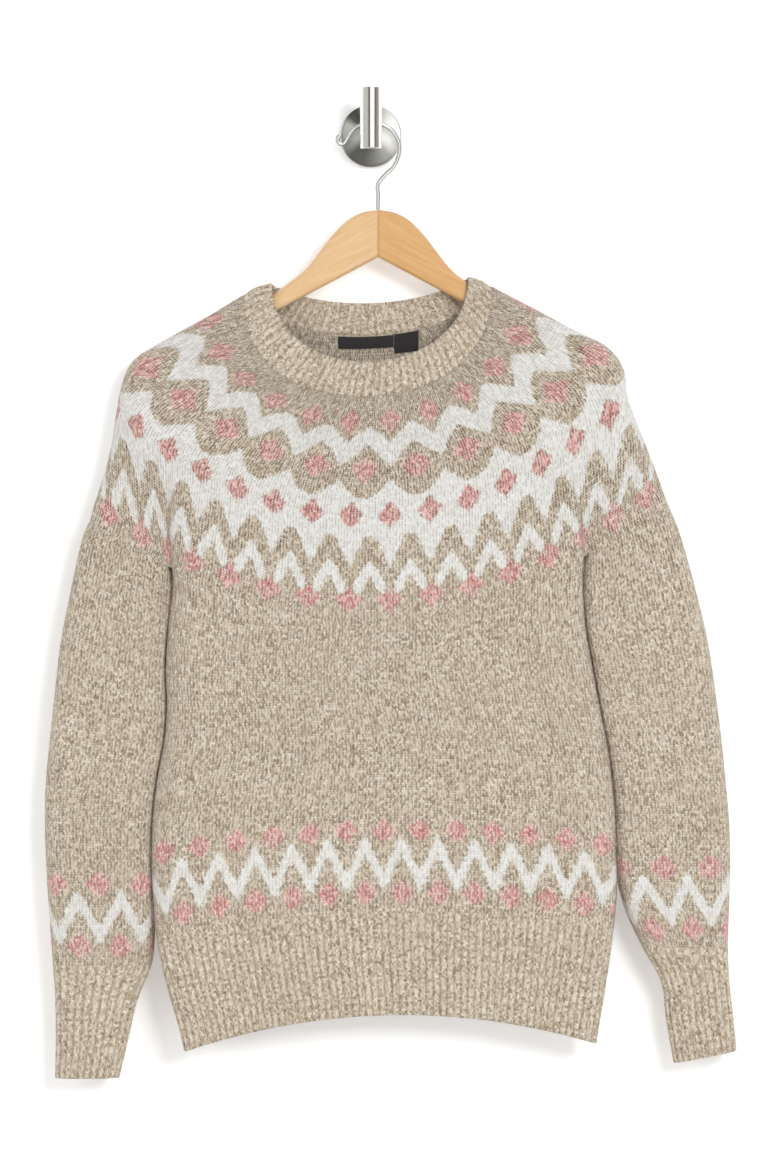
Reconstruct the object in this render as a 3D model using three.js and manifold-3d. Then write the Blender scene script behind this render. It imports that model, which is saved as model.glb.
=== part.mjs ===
// Fair isle jumper that hangs flat on a wooden hanger from a round wall hook.
//
// Units are millimetres. The origin is the middle of the hook's round plate, on the wall.
// +X runs to the right as the jumper is seen, +Y runs into the wall and +Z is up, so the
// jumper's front looks along -Y. Every knitted piece is a thin wall around an empty inside.

import * as THREE from "three";
import * as BufferGeometryUtils from "three/addons/utils/BufferGeometryUtils.js";
import Module from "manifold-3d";

const wasm = await Module();
wasm.setup();

// Cloth
const CLOTH = 3; // thickness of the knitted wall
const SEAM = 0.3; // gap between two pieces that are sewn together
const SLANTED_SEAM = 0.5; // the same for a seam that runs aslant
const HEM_SEAM = 0.75; // and where flat facets of two sizes meet along a curve
const NECK_SEAM = 0.85;
const RIB_RELIEF = 1.1; // how far a rib stands above the furrow beside it
const FOLD_FLOOR_FRONT = -43; // deepest point of the fold between body and sleeve, in front
const FOLD_FLOOR_BACK = -22; // and at the back
const FOLD_DROP = 2.6; // the underarm is joined this far below the yoke's edge
const SLEEVE_CLEARANCE = 2.4; // between the sleeve and the body's side, which hides it
const BODY_SIDE_Y = -45; // depth of the body's folded sides
const BODY_FRONT_TURN = 12; // width of the rounding at the front of those sides
const SIDE_SEAM = 0.4; // the back starts this far behind the folded sides

// Numbers of ribs and facets
const BODY_COLUMNS = 16;
const SLEEVE_COLUMNS = 8;
const HEM_RIBS = 64; // on each of the two panels
const CUFF_RIBS = 24;
const NECK_RIBS = 84;
const RIB_ROWS = 2;
const BODY_ROWS = 9;
const BODY_EASE = 0.2; // share of the panel over which its top eases into its own sizes
const GATHER = 0.75; // how strongly the facets gather towards a fold
const LOOP_STEPS = 160; // fine steps on half of a loop before it is divided

// Hanger
const HANGER_X = 6; // the two arms meet here
const HANGER_Y = -26; // middle of the arms' thickness
const ARM_THICKNESS = 12;
const ARM_EDGE = 3.5; // rounding of the arms' edges
const ARM_DEPTH = 16.5; // height of the arm under the shoulder, measured straight down
const ARM_TIP = 198; // from the middle to the arm's tip
const ARM_TIP_LENGTH = 6; // length of the rounded tip
const ARM_END = 40; // length over which the straight lower edge leads into the tip
const ARM_UNDERSIDE_Z = -105; // lower edge at the middle
const ARM_UNDERSIDE_SLOPE = 0.53;
const REST_GAP = 1.85; // between the arm's middle and the cloth, whose turn touches its edges
const WIRE_RADIUS = 1.7;

// Wall hook
const PLATE_RADIUS = 26.6;
const PLATE_THICKNESS = 8;
const PLATE_EDGE = 2.5;
const STEM_RADIUS = 7.6;
const PEG_RADIUS = 9.3;
const PEG_Y = -47;
const PEG_LOW = -13.6;
const PEG_HIGH = 39;
const PEG_EDGE = 1.2;
const ROUND_SIDES = 40;

// A table becomes a list of rows whose numbers are read by their column's name.
function table(columns, rows) {
  return rows.map((row) => Object.fromEntries(columns.map((name, i) => [name, row[i]])));
}

// Courses of the neckband and yoke, from the band's upper edge to the underarms. Left and right
// are the points where a course turns over the shoulder or round the sleeve. frontZ and backZ are
// its middle heights, and the bow numbers say how full its curve is. edge is the depth that the
// cloth gains as it turns, crown what it gains from there to the middle, turn the turn's width.
// foldLeft and foldRight are where the fold between body and sleeve runs, and fold its strength.
const COURSES = table(
  ["leftX", "leftZ", "rightX", "rightZ", "frontZ", "backZ", "frontBow", "backBow", "sideY",
    "edge", "crown", "backEdge", "backCrown", "turn", "foldLeft", "foldRight", "fold"],
  [
    [-86, -126.6, 84, -121.3, -195, -145, 2.2, 1.3, -26, 12, 4, 11, 1, 9, -58, 60, 0],
    [-99, -130.5, 95, -124.5, -211, -158, 2.4, 1.5, -26, 12, 7, 11, 1.5, 9, -64, 68, 0],
    [-108.8, -136.8, 102.9, -129.6, -224.4, -171, 2.5, 1.8, -26, 12, 6.5, 11, 1, 9, -72, 78, 0],
    [-142, -156.8, 136.9, -147.5, -247.5, -200, 1.5, 2, -26, 12, 8.5, 11, 1, 9, -100, 106, 0],
    [-170.9, -172.6, 170, -165.2, -267, -221, 1.2, 2, -26, 12, 10.5, 11.5, 1, 9, -122, 128, 0],
    [-201.5, -191.7, 201.5, -181.5, -288, -244, 1, 2, -26, 12.5, 12.5, 12, 1, 10, -142, 148, 0],
    [-212.5, -213.4, 215.9, -201.5, -307, -267, 1, 2, -26.5, 14, 13.5, 12.5, 1, 12, -156, 160, 0.05],
    [-216.8, -235.5, 219, -225.3, -326, -289, 1, 2.1, -27, 15, 14, 13, 1, 13, -166, 168, 0.15],
    [-223.6, -275.4, 234, -264.4, -364.5, -330, 1, 2.2, -28, 16, 14.5, 14, 1, 14, -172, 175, 0.45],
    [-235.5, -314.5, 246.5, -297.5, -397, -365, 1, 2.3, -29, 16.5, 15, 15, 1, 15, -170, 180, 0.85],
    [-239.3, -329, 252.5, -314.5, -409.7, -380, 1, 2.3, -29.5, 16.5, 15.5, 16, 1, 15, -169, 181, 1],
  ],
);
const NECK_SEAM_COURSE = 2;
const YOKE_EDGE_COURSE = COURSES.length - 1;

// Body and hem rib by height at the sides, down to the lower edge. crown is the depth that the
// front gains towards its middle, backTurn the width of the rounding behind the folded sides.
const BODY = table(
  ["z", "leftX", "rightX", "frontEdge", "crown", "backY", "backTurn"],
  [
    [-360, -168.5, 180.5, 11, 5, -13, 14],
    [-385, -167.5, 180, 11, 6, -13, 16],
    [-420, -172, 182.5, 11, 7, -13, 25],
    [-455, -174.5, 188.5, 11, 7, -13.5, 34],
    [-485, -173.5, 194, 11, 7, -14, 40],
    [-515, -175.5, 200, 11, 6, -14, 42],
    [-545, -181, 204.5, 11, 6, -14, 42],
    [-575, -185, 207.5, 11, 5.5, -14, 42],
    [-610, -186.5, 208.5, 11, 5, -14, 42],
    [-645, -185.5, 209, 10.5, 4.5, -14.5, 40],
    [-683, -182.5, 205.5, 10, 4, -15, 34],
    [-723, -174, 199.8, 9, 3.5, -16, 28],
    [-780, -159, 191.2, 8, 3, -17, 24],
  ],
);
const BODY_FOOT = { leftZ: -683.4, rightZ: -675.8, rise: 18.3, backRise: 18.3 };
const HEM_FOOT = { leftZ: -779.4, rightZ: -772.6, rise: 28, backRise: 31 };

// Sleeves by section, from the yoke to the cuff's lower edge. outer is the side away from the
// body, inner the side that the body's edge hides, and half is half of the flattened tube.
const SLEEVE_COLUMNS_NAMED = ["outerX", "outerZ", "innerX", "innerZ", "middleY", "half"];
const SLEEVES = {
  left: table(SLEEVE_COLUMNS_NAMED, [
    [-239.3, -329, -169.5, -370, -29.5, 16.5],
    [-246.5, -346, -167.5, -390, -29.5, 17],
    [-257.6, -397, -167.5, -430, -30, 17.5],
    [-265.2, -438, -169.5, -462, -30, 17.5],
    [-272, -499, -170, -510, -30, 17],
    [-277, -550, -177, -555, -30, 17],
    [-278, -590, -182, -592, -30, 16.5],
    [-276.2, -635, -182.5, -635, -29.5, 15.5],
    [-273.7, -673, -183.6, -673, -29, 14.5],
    [-271.2, -708, -187, -708, -28.5, 13.5],
    [-269.3, -738, -199, -738, -28, 13],
    [-268.8, -770, -206.5, -770, -28, 12.5],
    [-269.4, -803.2, -214.2, -803.2, -28, 12],
  ]),
  right: table(SLEEVE_COLUMNS_NAMED, [
    [252.5, -314.5, 181.5, -359, -29.5, 16.5],
    [264, -343, 178, -384, -29.5, 17],
    [278.8, -397, 178, -425, -30, 17.5],
    [288, -438, 183, -455, -30, 17.5],
    [296.6, -499, 193.5, -506, -30, 17],
    [302, -550, 201, -552, -30, 17],
    [305.5, -592, 205, -592, -30, 16.5],
    [306, -632, 209, -632, -29.5, 15.5],
    [305, -662, 216.8, -662, -29, 14.5],
    [304.3, -692.8, 231.2, -692.8, -28.5, 13.5],
    [305.6, -723, 247.3, -723, -28, 13],
    [308.5, -750, 251, -753, -28, 12.5],
    [311.6, -780, 257.6, -790.5, -28, 12],
  ]),
};
const CUFF_SEAM_SECTION = 9;
const SLEEVE_TURN = 14; // width of the rounding at the sleeve's two sides
const TOP_EASE = 2.2; // sections over which the sleeve's slanted top becomes level
const FREE_SHARE = 0.9; // beyond this share of its width the body's side shapes the sleeve

// Labels: left edge, right edge and the stretch below the neck seam, in courses
const LABELS = table(
  ["left", "right", "top", "bottom"],
  [
    [-28.1, 19.2, 0.06, 0.42],
    [19.8, 40.5, 0.04, 0.6],
  ],
);
const LABEL_THICKNESS = 0.6;

// The hanger's visible upper edge: distance from the middle and height
const ARM_SHOULDER = [
  [0, -64.2], [15, -67], [28, -74.5], [40, -87], [51, -101.3], [62, -115], [75, -125.5], [92, -137],
];

// The wire, from the wood up and over the peg's stem to its curled end: x and z
const WIRE_PATH = [
  [5.6, -63.9], [6, -52], [6, -42.3], [12.8, -33.8], [19.8, -26.8], [23.7, -17], [24, -8.5],
  [20.4, 0], [14.8, 5.8], [8, 8.7], [-0.4, 9.5], [-9.6, 8], [-16.4, 3.2], [-20.8, -4], [-24, -8],
  [-27.6, -7.1], [-28.4, -3], [-25.4, -0.6],
];

const MATERIALS = {
  wool: new THREE.MeshStandardMaterial({ color: "#c9b99f", roughness: 0.95, metalness: 0 }),
  woolRib: new THREE.MeshStandardMaterial({ color: "#c2b196", roughness: 0.95, metalness: 0 }),
  label: new THREE.MeshStandardMaterial({ color: "#17171a", roughness: 0.7, metalness: 0 }),
  wood: new THREE.MeshStandardMaterial({ color: "#e3b780", roughness: 0.45, metalness: 0 }),
  wire: new THREE.MeshStandardMaterial({ color: "#c8c9cb", roughness: 0.25, metalness: 1 }),
  steel: new THREE.MeshStandardMaterial({ color: "#a9a9a8", roughness: 0.35, metalness: 1 }),
};

// Small sums
const mix = (a, b, share) => a + (b - a) * share;
const clamp = (value, low, high) => Math.min(Math.max(value, low), high);
const roundness = (share) => (share >= 1 ? 1 : Math.sqrt(Math.max(0, 1 - (1 - share) ** 2)));
const rounded = (angle) => (1 - Math.cos(angle)) / 2;
const fade = (share) => (share >= 1 ? 0 : (1 - share) ** 2 * (1 + 2 * share));

// Smooth value of every column at a place between two rows of a table.
function between(rows, place) {
  const last = rows.length - 1;
  const i = clamp(Math.floor(place), 0, last - 1);
  const t = place - i;
  const near = [Math.max(i - 1, 0), i, i + 1, Math.min(i + 2, last)].map((k) => rows[k]);
  const smooth = {};
  for (const name of Object.keys(rows[0])) {
    const [a, b, c, d] = near.map((row) => row[name]);
    const bend = 2 * a - 5 * b + 4 * c - d + t * (3 * (b - c) + d - a);
    smooth[name] = b + 0.5 * t * (c - a + t * bend);
  }
  return smooth;
}

// The body's sizes at a height.
function bodyAt(z) {
  let i = 0;
  while (i < BODY.length - 2 && z < BODY[i + 1].z) i += 1;
  return between(BODY, i + clamp((BODY[i].z - z) / (BODY[i].z - BODY[i + 1].z), 0, 1));
}

// A course's curve as seen from the front: height at a place across, from -1 to 1.
function courseHeight(course, across, half) {
  const ridge = mix(course.leftZ, course.rightZ, (1 + across) / 2);
  const middle = half === "front" ? course.frontZ : course.backZ;
  const bow = half === "front" ? course.frontBow : course.backBow;
  const drop = (course.leftZ + course.rightZ) / 2 - middle;
  return ridge - drop * Math.max(0, 1 - across ** 2) ** (1 / bow);
}

// Place across a course, from -1 to 1, of a point at x.
function courseAcross(course, x) {
  return clamp((2 * x - course.leftX - course.rightX) / (course.rightX - course.leftX), -1, 1);
}

// Depth of a course where it is lifted off its fold, as if the yoke ran on smoothly.
function plainDepth(course, half, across, fromEdge) {
  const front = half === "front";
  const edge = front ? course.edge : course.backEdge;
  const crown = front ? course.crown : course.backCrown;
  const depth = (edge + crown * (1 - across ** 2)) * roundness(fromEdge / course.turn);
  return course.sideY + (front ? -depth : depth);
}

// Depth of a course where body and sleeves hang as separate tubes with a fold between them. No
// fold is deeper than its floor.
function foldedDepth(course, half, x, fromEdge) {
  const floor = half === "front" ? FOLD_FLOOR_FRONT : FOLD_FLOOR_BACK;
  const furthest = half === "front" ? Math.min : Math.max;
  if (x > course.foldLeft && x < course.foldRight) {
    return furthest(bodyDepth(BODY[0], half, x, course.foldLeft, course.foldRight), floor);
  }
  const toFold = Math.min(Math.abs(x - course.foldLeft), Math.abs(x - course.foldRight));
  const tube = Math.min(roundness(fromEdge / course.turn), roundness(toFold / SLEEVE_TURN));
  const depth = course.sideY + (half === "front" ? -course.edge : course.backEdge) * tube;
  return fromEdge < course.turn ? depth : furthest(depth, floor);
}

// Depth of the body between its two folded sides.
function bodyDepth(body, half, x, leftX, rightX) {
  const fromSide = Math.max(0, Math.min(x - leftX, rightX - x));
  const across = (2 * x - leftX - rightX) / (rightX - leftX);
  const start = BODY_SIDE_Y + SIDE_SEAM;
  if (half === "back") return start + (body.backY - start) * roundness(fromSide / body.backTurn);
  const depth = body.frontEdge + body.crown * (1 - across ** 2);
  return BODY_SIDE_Y - depth * roundness(fromSide / BODY_FRONT_TURN);
}

// Half of a course as fine points, from the left shoulder to the right one.
function courseHalf(course, half) {
  const middleX = (course.leftX + course.rightX) / 2;
  const reach = (course.rightX - course.leftX) / 2;
  const flat = [];
  for (let i = 0; i <= LOOP_STEPS; i += 1) {
    const across = 2 * rounded((Math.PI * i) / LOOP_STEPS) - 1;
    flat.push([middleX + reach * across, courseHeight(course, across, half), across]);
  }
  const lengths = runLengths(flat.map(([x, z]) => [x, 0, z]));
  const total = lengths.at(-1);
  return flat.map(([x, z, across], i) => {
    const fromEdge = Math.min(lengths[i], total - lengths[i]);
    const plain = plainDepth(course, half, across, fromEdge);
    return [x, mix(plain, foldedDepth(course, half, x, fromEdge), course.fold), z];
  });
}

// Length along a row of points, up to each of them.
function runLengths(points) {
  const lengths = [0];
  for (let i = 1; i < points.length; i += 1) {
    lengths.push(lengths[i - 1] + Math.hypot(...points[i].map((value, k) => value - points[i - 1][k])));
  }
  return lengths;
}

// Point at a length along a row of points.
function pointAt(points, lengths, distance) {
  let i = 1;
  while (i < points.length - 1 && lengths[i] < distance) i += 1;
  const share = clamp((distance - lengths[i - 1]) / (lengths[i] - lengths[i - 1]), 0, 1);
  return points[i].map((value, k) => mix(points[i - 1][k], value, share));
}

// Shares of a stretch at which its facets meet, gathered towards both ends.
function gathered(count) {
  return Array.from({ length: count + 1 }, (_, i) => {
    const even = i / count;
    return mix(even, rounded(Math.PI * even), GATHER);
  });
}

// One course of the yoke as a closed row of points: sleeve, body and sleeve in front, then back.
function yokeLoop(course) {
  const loop = [];
  for (const half of ["front", "back"]) {
    const points = courseHalf(course, half);
    const lengths = runLengths(points);
    const lengthAt = (x) => lengths[points.findIndex((point) => point[0] >= x)];
    const marks = [0, lengthAt(course.foldLeft), lengthAt(course.foldRight), lengths.at(-1)];
    const counts = [SLEEVE_COLUMNS, BODY_COLUMNS, SLEEVE_COLUMNS];
    const run = [];
    counts.forEach((count, part) => {
      for (const share of gathered(count).slice(0, -1)) {
        run.push(pointAt(points, lengths, mix(marks[part], marks[part + 1], share)));
      }
    });
    run.push(points.at(-1));
    if (half === "back") run.reverse();
    loop.push(...run.slice(0, -1));
  }
  return loop;
}

// One course of the ribbed band, divided evenly along its length.
function bandLoop(course, count) {
  const points = [...courseHalf(course, "front"), ...courseHalf(course, "back").reverse().slice(1)];
  const lengths = runLengths(points);
  return Array.from({ length: count }, (_, i) => pointAt(points, lengths, (lengths.at(-1) * i) / count));
}

// The yoke's lowest course, which body and sleeves continue.
const YOKE_EDGE = yokeLoop(COURSES[YOKE_EDGE_COURSE]);
const HALF_COLUMNS = 2 * SLEEVE_COLUMNS + BODY_COLUMNS;

// A point of that course, counted on either half from the left.
function edgePoint(half, column) {
  return YOKE_EDGE[half === "front" ? column : (2 * HALF_COLUMNS - column) % (2 * HALF_COLUMNS)];
}

// Closed solid from an outer and an inner grid of points. A closed grid joins its last column to
// its first, and an open one gets a wall at each side as well as at its two ends.
function wallGeometry(outer, inner, closed) {
  const positions = [];
  const index = [];
  const store = (grid) => grid.map((row) => row.map((point) => positions.push(...point) / 3 - 1));
  const outerIds = store(outer);
  const innerIds = store(inner);
  const skin = (ids, flip) => {
    for (let i = 0; i < ids.length - 1; i += 1) {
      const columns = ids[i].length;
      for (let j = 0; j < (closed ? columns : columns - 1); j += 1) {
        const k = (j + 1) % columns;
        const [a, b, c, d] = [ids[i][j], ids[i + 1][j], ids[i + 1][k], ids[i][k]];
        index.push(...(flip ? [a, c, b, a, d, c] : [a, b, c, a, c, d]));
      }
    }
  };
  skin(outerIds, false);
  skin(innerIds, true);
  bridge(outerIds[0], innerIds[0], closed, true, index);
  bridge(outerIds.at(-1), innerIds.at(-1), closed, false, index);
  if (!closed) {
    bridge(outerIds.map((row) => row[0]), innerIds.map((row) => row[0]), false, false, index);
    bridge(outerIds.map((row) => row.at(-1)), innerIds.map((row) => row.at(-1)), false, true, index);
  }
  const geometry = new THREE.BufferGeometry();
  geometry.setAttribute("position", new THREE.Float32BufferAttribute(positions, 3));
  geometry.setIndex(index);
  return geometry;
}

// Strip of facets between an edge and another with the same number of points or a whole share.
function bridge(fine, coarse, closed, flip, index) {
  const steps = closed ? coarse.length : coarse.length - 1;
  const ratio = (closed ? fine.length : fine.length - 1) / steps;
  const add = (a, b, c) => index.push(...(flip ? [a, c, b] : [a, b, c]));
  for (let j = 0; j < steps; j += 1) {
    const [here, next] = [coarse[j], coarse[(j + 1) % coarse.length]];
    const turnAt = Math.floor(ratio / 2);
    for (let k = 0; k < ratio; k += 1) {
      const a = fine[(j * ratio + k) % fine.length];
      const b = fine[(j * ratio + k + 1) % fine.length];
      if (k === turnAt) add(here, next, a);
      add(a, k < turnAt ? here : next, b);
    }
  }
}

// Direction out of the cloth at each point of a grid. A level end keeps the direction level, so
// that the pieces on both sides of that seam end in the same plane, and an open side squarely.
function outward(grid, closed, level) {
  const at = (i, j) => {
    const columns = grid[i].length;
    return new THREE.Vector3(...grid[i][closed ? (j + columns) % columns : clamp(j, 0, columns - 1)]);
  };
  return grid.map((row, i) => row.map((_, j) => {
    const along = at(i, j + 1).sub(at(i, j - 1));
    const down = at(Math.min(i + 1, grid.length - 1), j).sub(at(Math.max(i - 1, 0), j));
    if ((level.first && i === 0) || (level.last && i === grid.length - 1)) {
      along.z = 0;
      down.set(0, 0, -1);
    }
    if (!closed && (j === 0 || j === row.length - 1)) {
      along.x = 0;
      down.set(0, 0, -1);
    }
    return down.cross(along).normalize();
  }));
}

// The inner side of a wall, moved in by the cloth's thickness.
function innerGrid(grid, normals, thickness, stride = 1) {
  return grid.map((row, i) => row
    .map((point, j) => point.map((value, k) => value - normals[i][j].getComponent(k) * thickness))
    .filter((_, j) => j % stride === 0));
}

// A plain knitted wall from its outer grid.
function clothWall(grid, closed, level = {}) {
  const normals = outward(grid, closed, level);
  return wallGeometry(grid, innerGrid(grid, normals, CLOTH), closed);
}

// A ribbed wall: every second column of its outer side lies in a furrow, and its inside is plain.
function ribbedWall(grid, closed, level = {}) {
  const normals = outward(grid, closed, level);
  const ribbed = grid.map((row, i) => row.map((point, j) => (j % 2 === 0
    ? point
    : point.map((value, k) => value - normals[i][j].getComponent(k) * RIB_RELIEF))));
  return wallGeometry(ribbed, innerGrid(grid, normals, CLOTH, 4), closed);
}

// Yoke
function yokeGrid() {
  const rows = [];
  for (let i = NECK_SEAM_COURSE; i <= YOKE_EDGE_COURSE; i += 1) {
    const place = i === NECK_SEAM_COURSE ? i + NECK_SEAM / seamRun() : i;
    rows.push(yokeLoop(between(COURSES, place)));
  }
  return rows;
}

// Distance between the neck seam and the next course, at its narrowest.
function seamRun() {
  return COURSES[NECK_SEAM_COURSE].frontZ - COURSES[NECK_SEAM_COURSE + 1].frontZ;
}

// Neckband
function bandGrid() {
  return COURSES.slice(0, NECK_SEAM_COURSE + 1).map((course) => bandLoop(course, 2 * NECK_RIBS));
}

// Height of the yoke's edge seen from the front, lowered a little at the underarm folds.
function seamZ(x, z) {
  const edge = COURSES[YOKE_EDGE_COURSE];
  const toFold = Math.min(Math.abs(x - edge.foldLeft), Math.abs(x - edge.foldRight));
  return z - SLANTED_SEAM - FOLD_DROP * (1 - roundness(toFold / BODY_FRONT_TURN));
}

// Height of the body's or hem's lower edge.
function footZ(foot, across, half) {
  const rise = half === "front" ? foot.rise : foot.backRise;
  return mix(foot.leftZ, foot.rightZ, (1 + across) / 2) + rise * (1 - across ** 2);
}

// A point of the body at a share across and at heights that its own sides have there.
function bodyPoint(half, share, z, sideZ) {
  const body = bodyAt(sideZ);
  const x = mix(body.leftX, body.rightX, share);
  return [x, bodyDepth(body, half, x, body.leftX, body.rightX), z];
}

// Shares across the body at which the yoke's facets meet it.
function bodyShares(half) {
  const edge = COURSES[YOKE_EDGE_COURSE];
  return Array.from({ length: BODY_COLUMNS + 1 }, (_, j) => {
    const [x] = edgePoint(half, SLEEVE_COLUMNS + j);
    return clamp((x - edge.foldLeft) / (edge.foldRight - edge.foldLeft), 0, 1);
  });
}

// A body panel, from the yoke's edge to the hem rib. The back one starts just behind the fold.
function panelGrid(half) {
  const shares = bodyShares(half);
  return Array.from({ length: BODY_ROWS + 1 }, (_, i) => shares.map((share, j) => {
    const [edgeX, , edgeZ] = edgePoint(half, SLEEVE_COLUMNS + j);
    const down = i / BODY_ROWS;
    const foot = footZ(BODY_FOOT, 2 * share - 1, half);
    const topSide = mix(edgeSide("left"), edgeSide("right"), share);
    const sideZ = mix(topSide, mix(BODY_FOOT.leftZ, BODY_FOOT.rightZ, share), down);
    const [x, y, z] = bodyPoint(half, share, mix(seamZ(edgeX, edgeZ), foot, down), sideZ);
    const [startX] = bodyPoint(half, share, 0, topSide);
    return [x + (edgeX - startX) * fade(down / BODY_EASE), y, z];
  }));
}

// Height at which the yoke's edge meets the fold on one side.
function edgeSide(side) {
  return edgePoint("front", side === "left" ? SLEEVE_COLUMNS : SLEEVE_COLUMNS + BODY_COLUMNS)[2];
}

// A hem rib, divided evenly along its length. The seam on the side lies behind the fold.
function hemGrid(half) {
  const fine = Array.from({ length: LOOP_STEPS + 1 }, (_, i) => rounded((Math.PI * i) / LOOP_STEPS));
  return Array.from({ length: RIB_ROWS + 1 }, (_, i) => {
    const down = i / RIB_ROWS;
    const run = fine.map((share) => {
      const across = 2 * share - 1;
      const z = mix(footZ(BODY_FOOT, across, half) - HEM_SEAM, footZ(HEM_FOOT, across, half), down);
      const leftZ = mix(BODY_FOOT.leftZ, HEM_FOOT.leftZ, down);
      const sideZ = mix(leftZ, mix(BODY_FOOT.rightZ, HEM_FOOT.rightZ, down), share);
      return bodyPoint(half, share, z, sideZ);
    });
    const lengths = runLengths(run);
    return Array.from({ length: 2 * HEM_RIBS + 1 }, (_, j) => (
      pointAt(run, lengths, (lengths.at(-1) * j) / (2 * HEM_RIBS))));
  });
}

// Where the body's folded side stands at a depth, for what hangs behind it.
function bodySideX(side, y, z) {
  const body = bodyAt(z);
  const share = y < BODY_SIDE_Y
    ? (BODY_SIDE_Y - y) / (body.frontEdge + 1)
    : (y - BODY_SIDE_Y) / (body.backY - BODY_SIDE_Y);
  const turn = y < BODY_SIDE_Y ? BODY_FRONT_TURN : body.backTurn;
  const inset = turn * (1 - Math.sqrt(Math.max(0, 1 - Math.min(share, 1) ** 2)));
  return side === "left" ? body.leftX + inset : body.rightX - inset;
}

// A point of a sleeve: share runs from its outer side to its inner one.
function sleevePoint(side, section, half, share) {
  const width = Math.abs(section.innerX - section.outerX);
  const fromSide = Math.min(share, 1 - share) * width;
  const depth = section.half * roundness(fromSide / Math.min(SLEEVE_TURN, width / 2));
  const y = section.middleY + (half === "front" ? -depth : depth);
  const z = mix(section.outerZ, section.innerZ, share);
  const free = mix(section.outerX, section.innerX, share);
  const limit = bodySideX(side, y, z);
  const x = side === "left"
    ? Math.min(free, limit - SLEEVE_CLEARANCE)
    : Math.max(free, limit + SLEEVE_CLEARANCE);
  return [x, y, z];
}

// Shares across a sleeve at which the yoke's facets meet it, and the yoke's height there.
function sleeveColumns(side, half) {
  return Array.from({ length: SLEEVE_COLUMNS + 1 }, (_, j) => {
    const point = edgePoint(half, side === "left" ? j : HALF_COLUMNS - j);
    const outer = SLEEVES[side][0].outerX;
    const edge = COURSES[YOKE_EDGE_COURSE];
    const fold = side === "left" ? edge.foldLeft : edge.foldRight;
    const [x, y, z] = point;
    return { half, share: clamp((x - outer) / (fold - outer), 0, 1), x, y, z: seamZ(x, z) };
  });
}

// A sleeve from the yoke's edge to the cuff.
function sleeveGrid(side) {
  const back = sleeveColumns(side, "back").reverse();
  const around = [...sleeveColumns(side, "front"), ...back.slice(1, -1)];
  return Array.from({ length: CUFF_SEAM_SECTION + 1 }, (_, i) => {
    const section = between(SLEEVES[side], i);
    const easing = fade(i / TOP_EASE);
    return around.map(({ half, share, x, y, z }) => {
      const point = sleevePoint(side, section, half, share);
      const start = sleevePoint(side, SLEEVES[side][0], half, share);
      const free = share < FREE_SHARE ? easing : 0;
      return [
        point[0] + (x - start[0]) * free,
        point[1] + (y - start[1]) * free,
        point[2] + (z - start[2]) * easing,
      ];
    });
  });
}

// A cuff, divided evenly along its length.
function cuffGrid(side) {
  return SLEEVES[side].slice(CUFF_SEAM_SECTION).map((section, i) => {
    const run = [];
    for (let k = 0; k < 2 * LOOP_STEPS; k += 1) {
      const angle = (Math.PI * k) / LOOP_STEPS;
      const half = angle < Math.PI ? "front" : "back";
      const point = sleevePoint(side, section, half, rounded(angle));
      run.push(i === 0 ? [point[0], point[1], point[2] - SEAM] : point);
    }
    run.push(run[0]);
    const lengths = runLengths(run);
    return Array.from({ length: 2 * CUFF_RIBS }, (_, j) => (
      pointAt(run, lengths, (lengths.at(-1) * j) / (2 * CUFF_RIBS))));
  });
}

// The right-hand tubes run the other way round, so their rows are turned to face outwards.
function facing(side, grid) {
  return side === "left" ? grid : grid.map((row) => [row[0], ...row.slice(1).reverse()]);
}

// A label lies against the inside of the yoke's back.
function labelGrids(label) {
  const rows = 3;
  const columns = 5;
  const face = (gap) => Array.from({ length: rows }, (_, i) => {
    const course = between(COURSES, NECK_SEAM_COURSE + mix(label.top, label.bottom, i / (rows - 1)));
    return Array.from({ length: columns }, (_, j) => {
      const x = mix(label.right, label.left, j / (columns - 1));
      const across = courseAcross(course, x);
      const y = plainDepth(course, "back", across, course.turn) - CLOTH - gap;
      return [x, y, courseHeight(course, across, "back")];
    });
  });
  return [face(SEAM), face(SEAM + LABEL_THICKNESS)];
}

// Upper edge of one arm: the visible shoulder, then the line of the cloth that lies on it.
function armTop(sign) {
  const clothDown = CLOTH * Math.hypot(1, ARM_UNDERSIDE_SLOPE);
  const under = COURSES.slice(NECK_SEAM_COURSE + 1, NECK_SEAM_COURSE + 4).map((course) => {
    const x = sign < 0 ? course.leftX : course.rightX;
    const z = sign < 0 ? course.leftZ : course.rightZ;
    return [Math.abs(x - HANGER_X), z - clothDown - REST_GAP];
  });
  return [...ARM_SHOULDER, ...under].map(([distance, z]) => new THREE.Vector2(distance, z));
}

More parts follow.
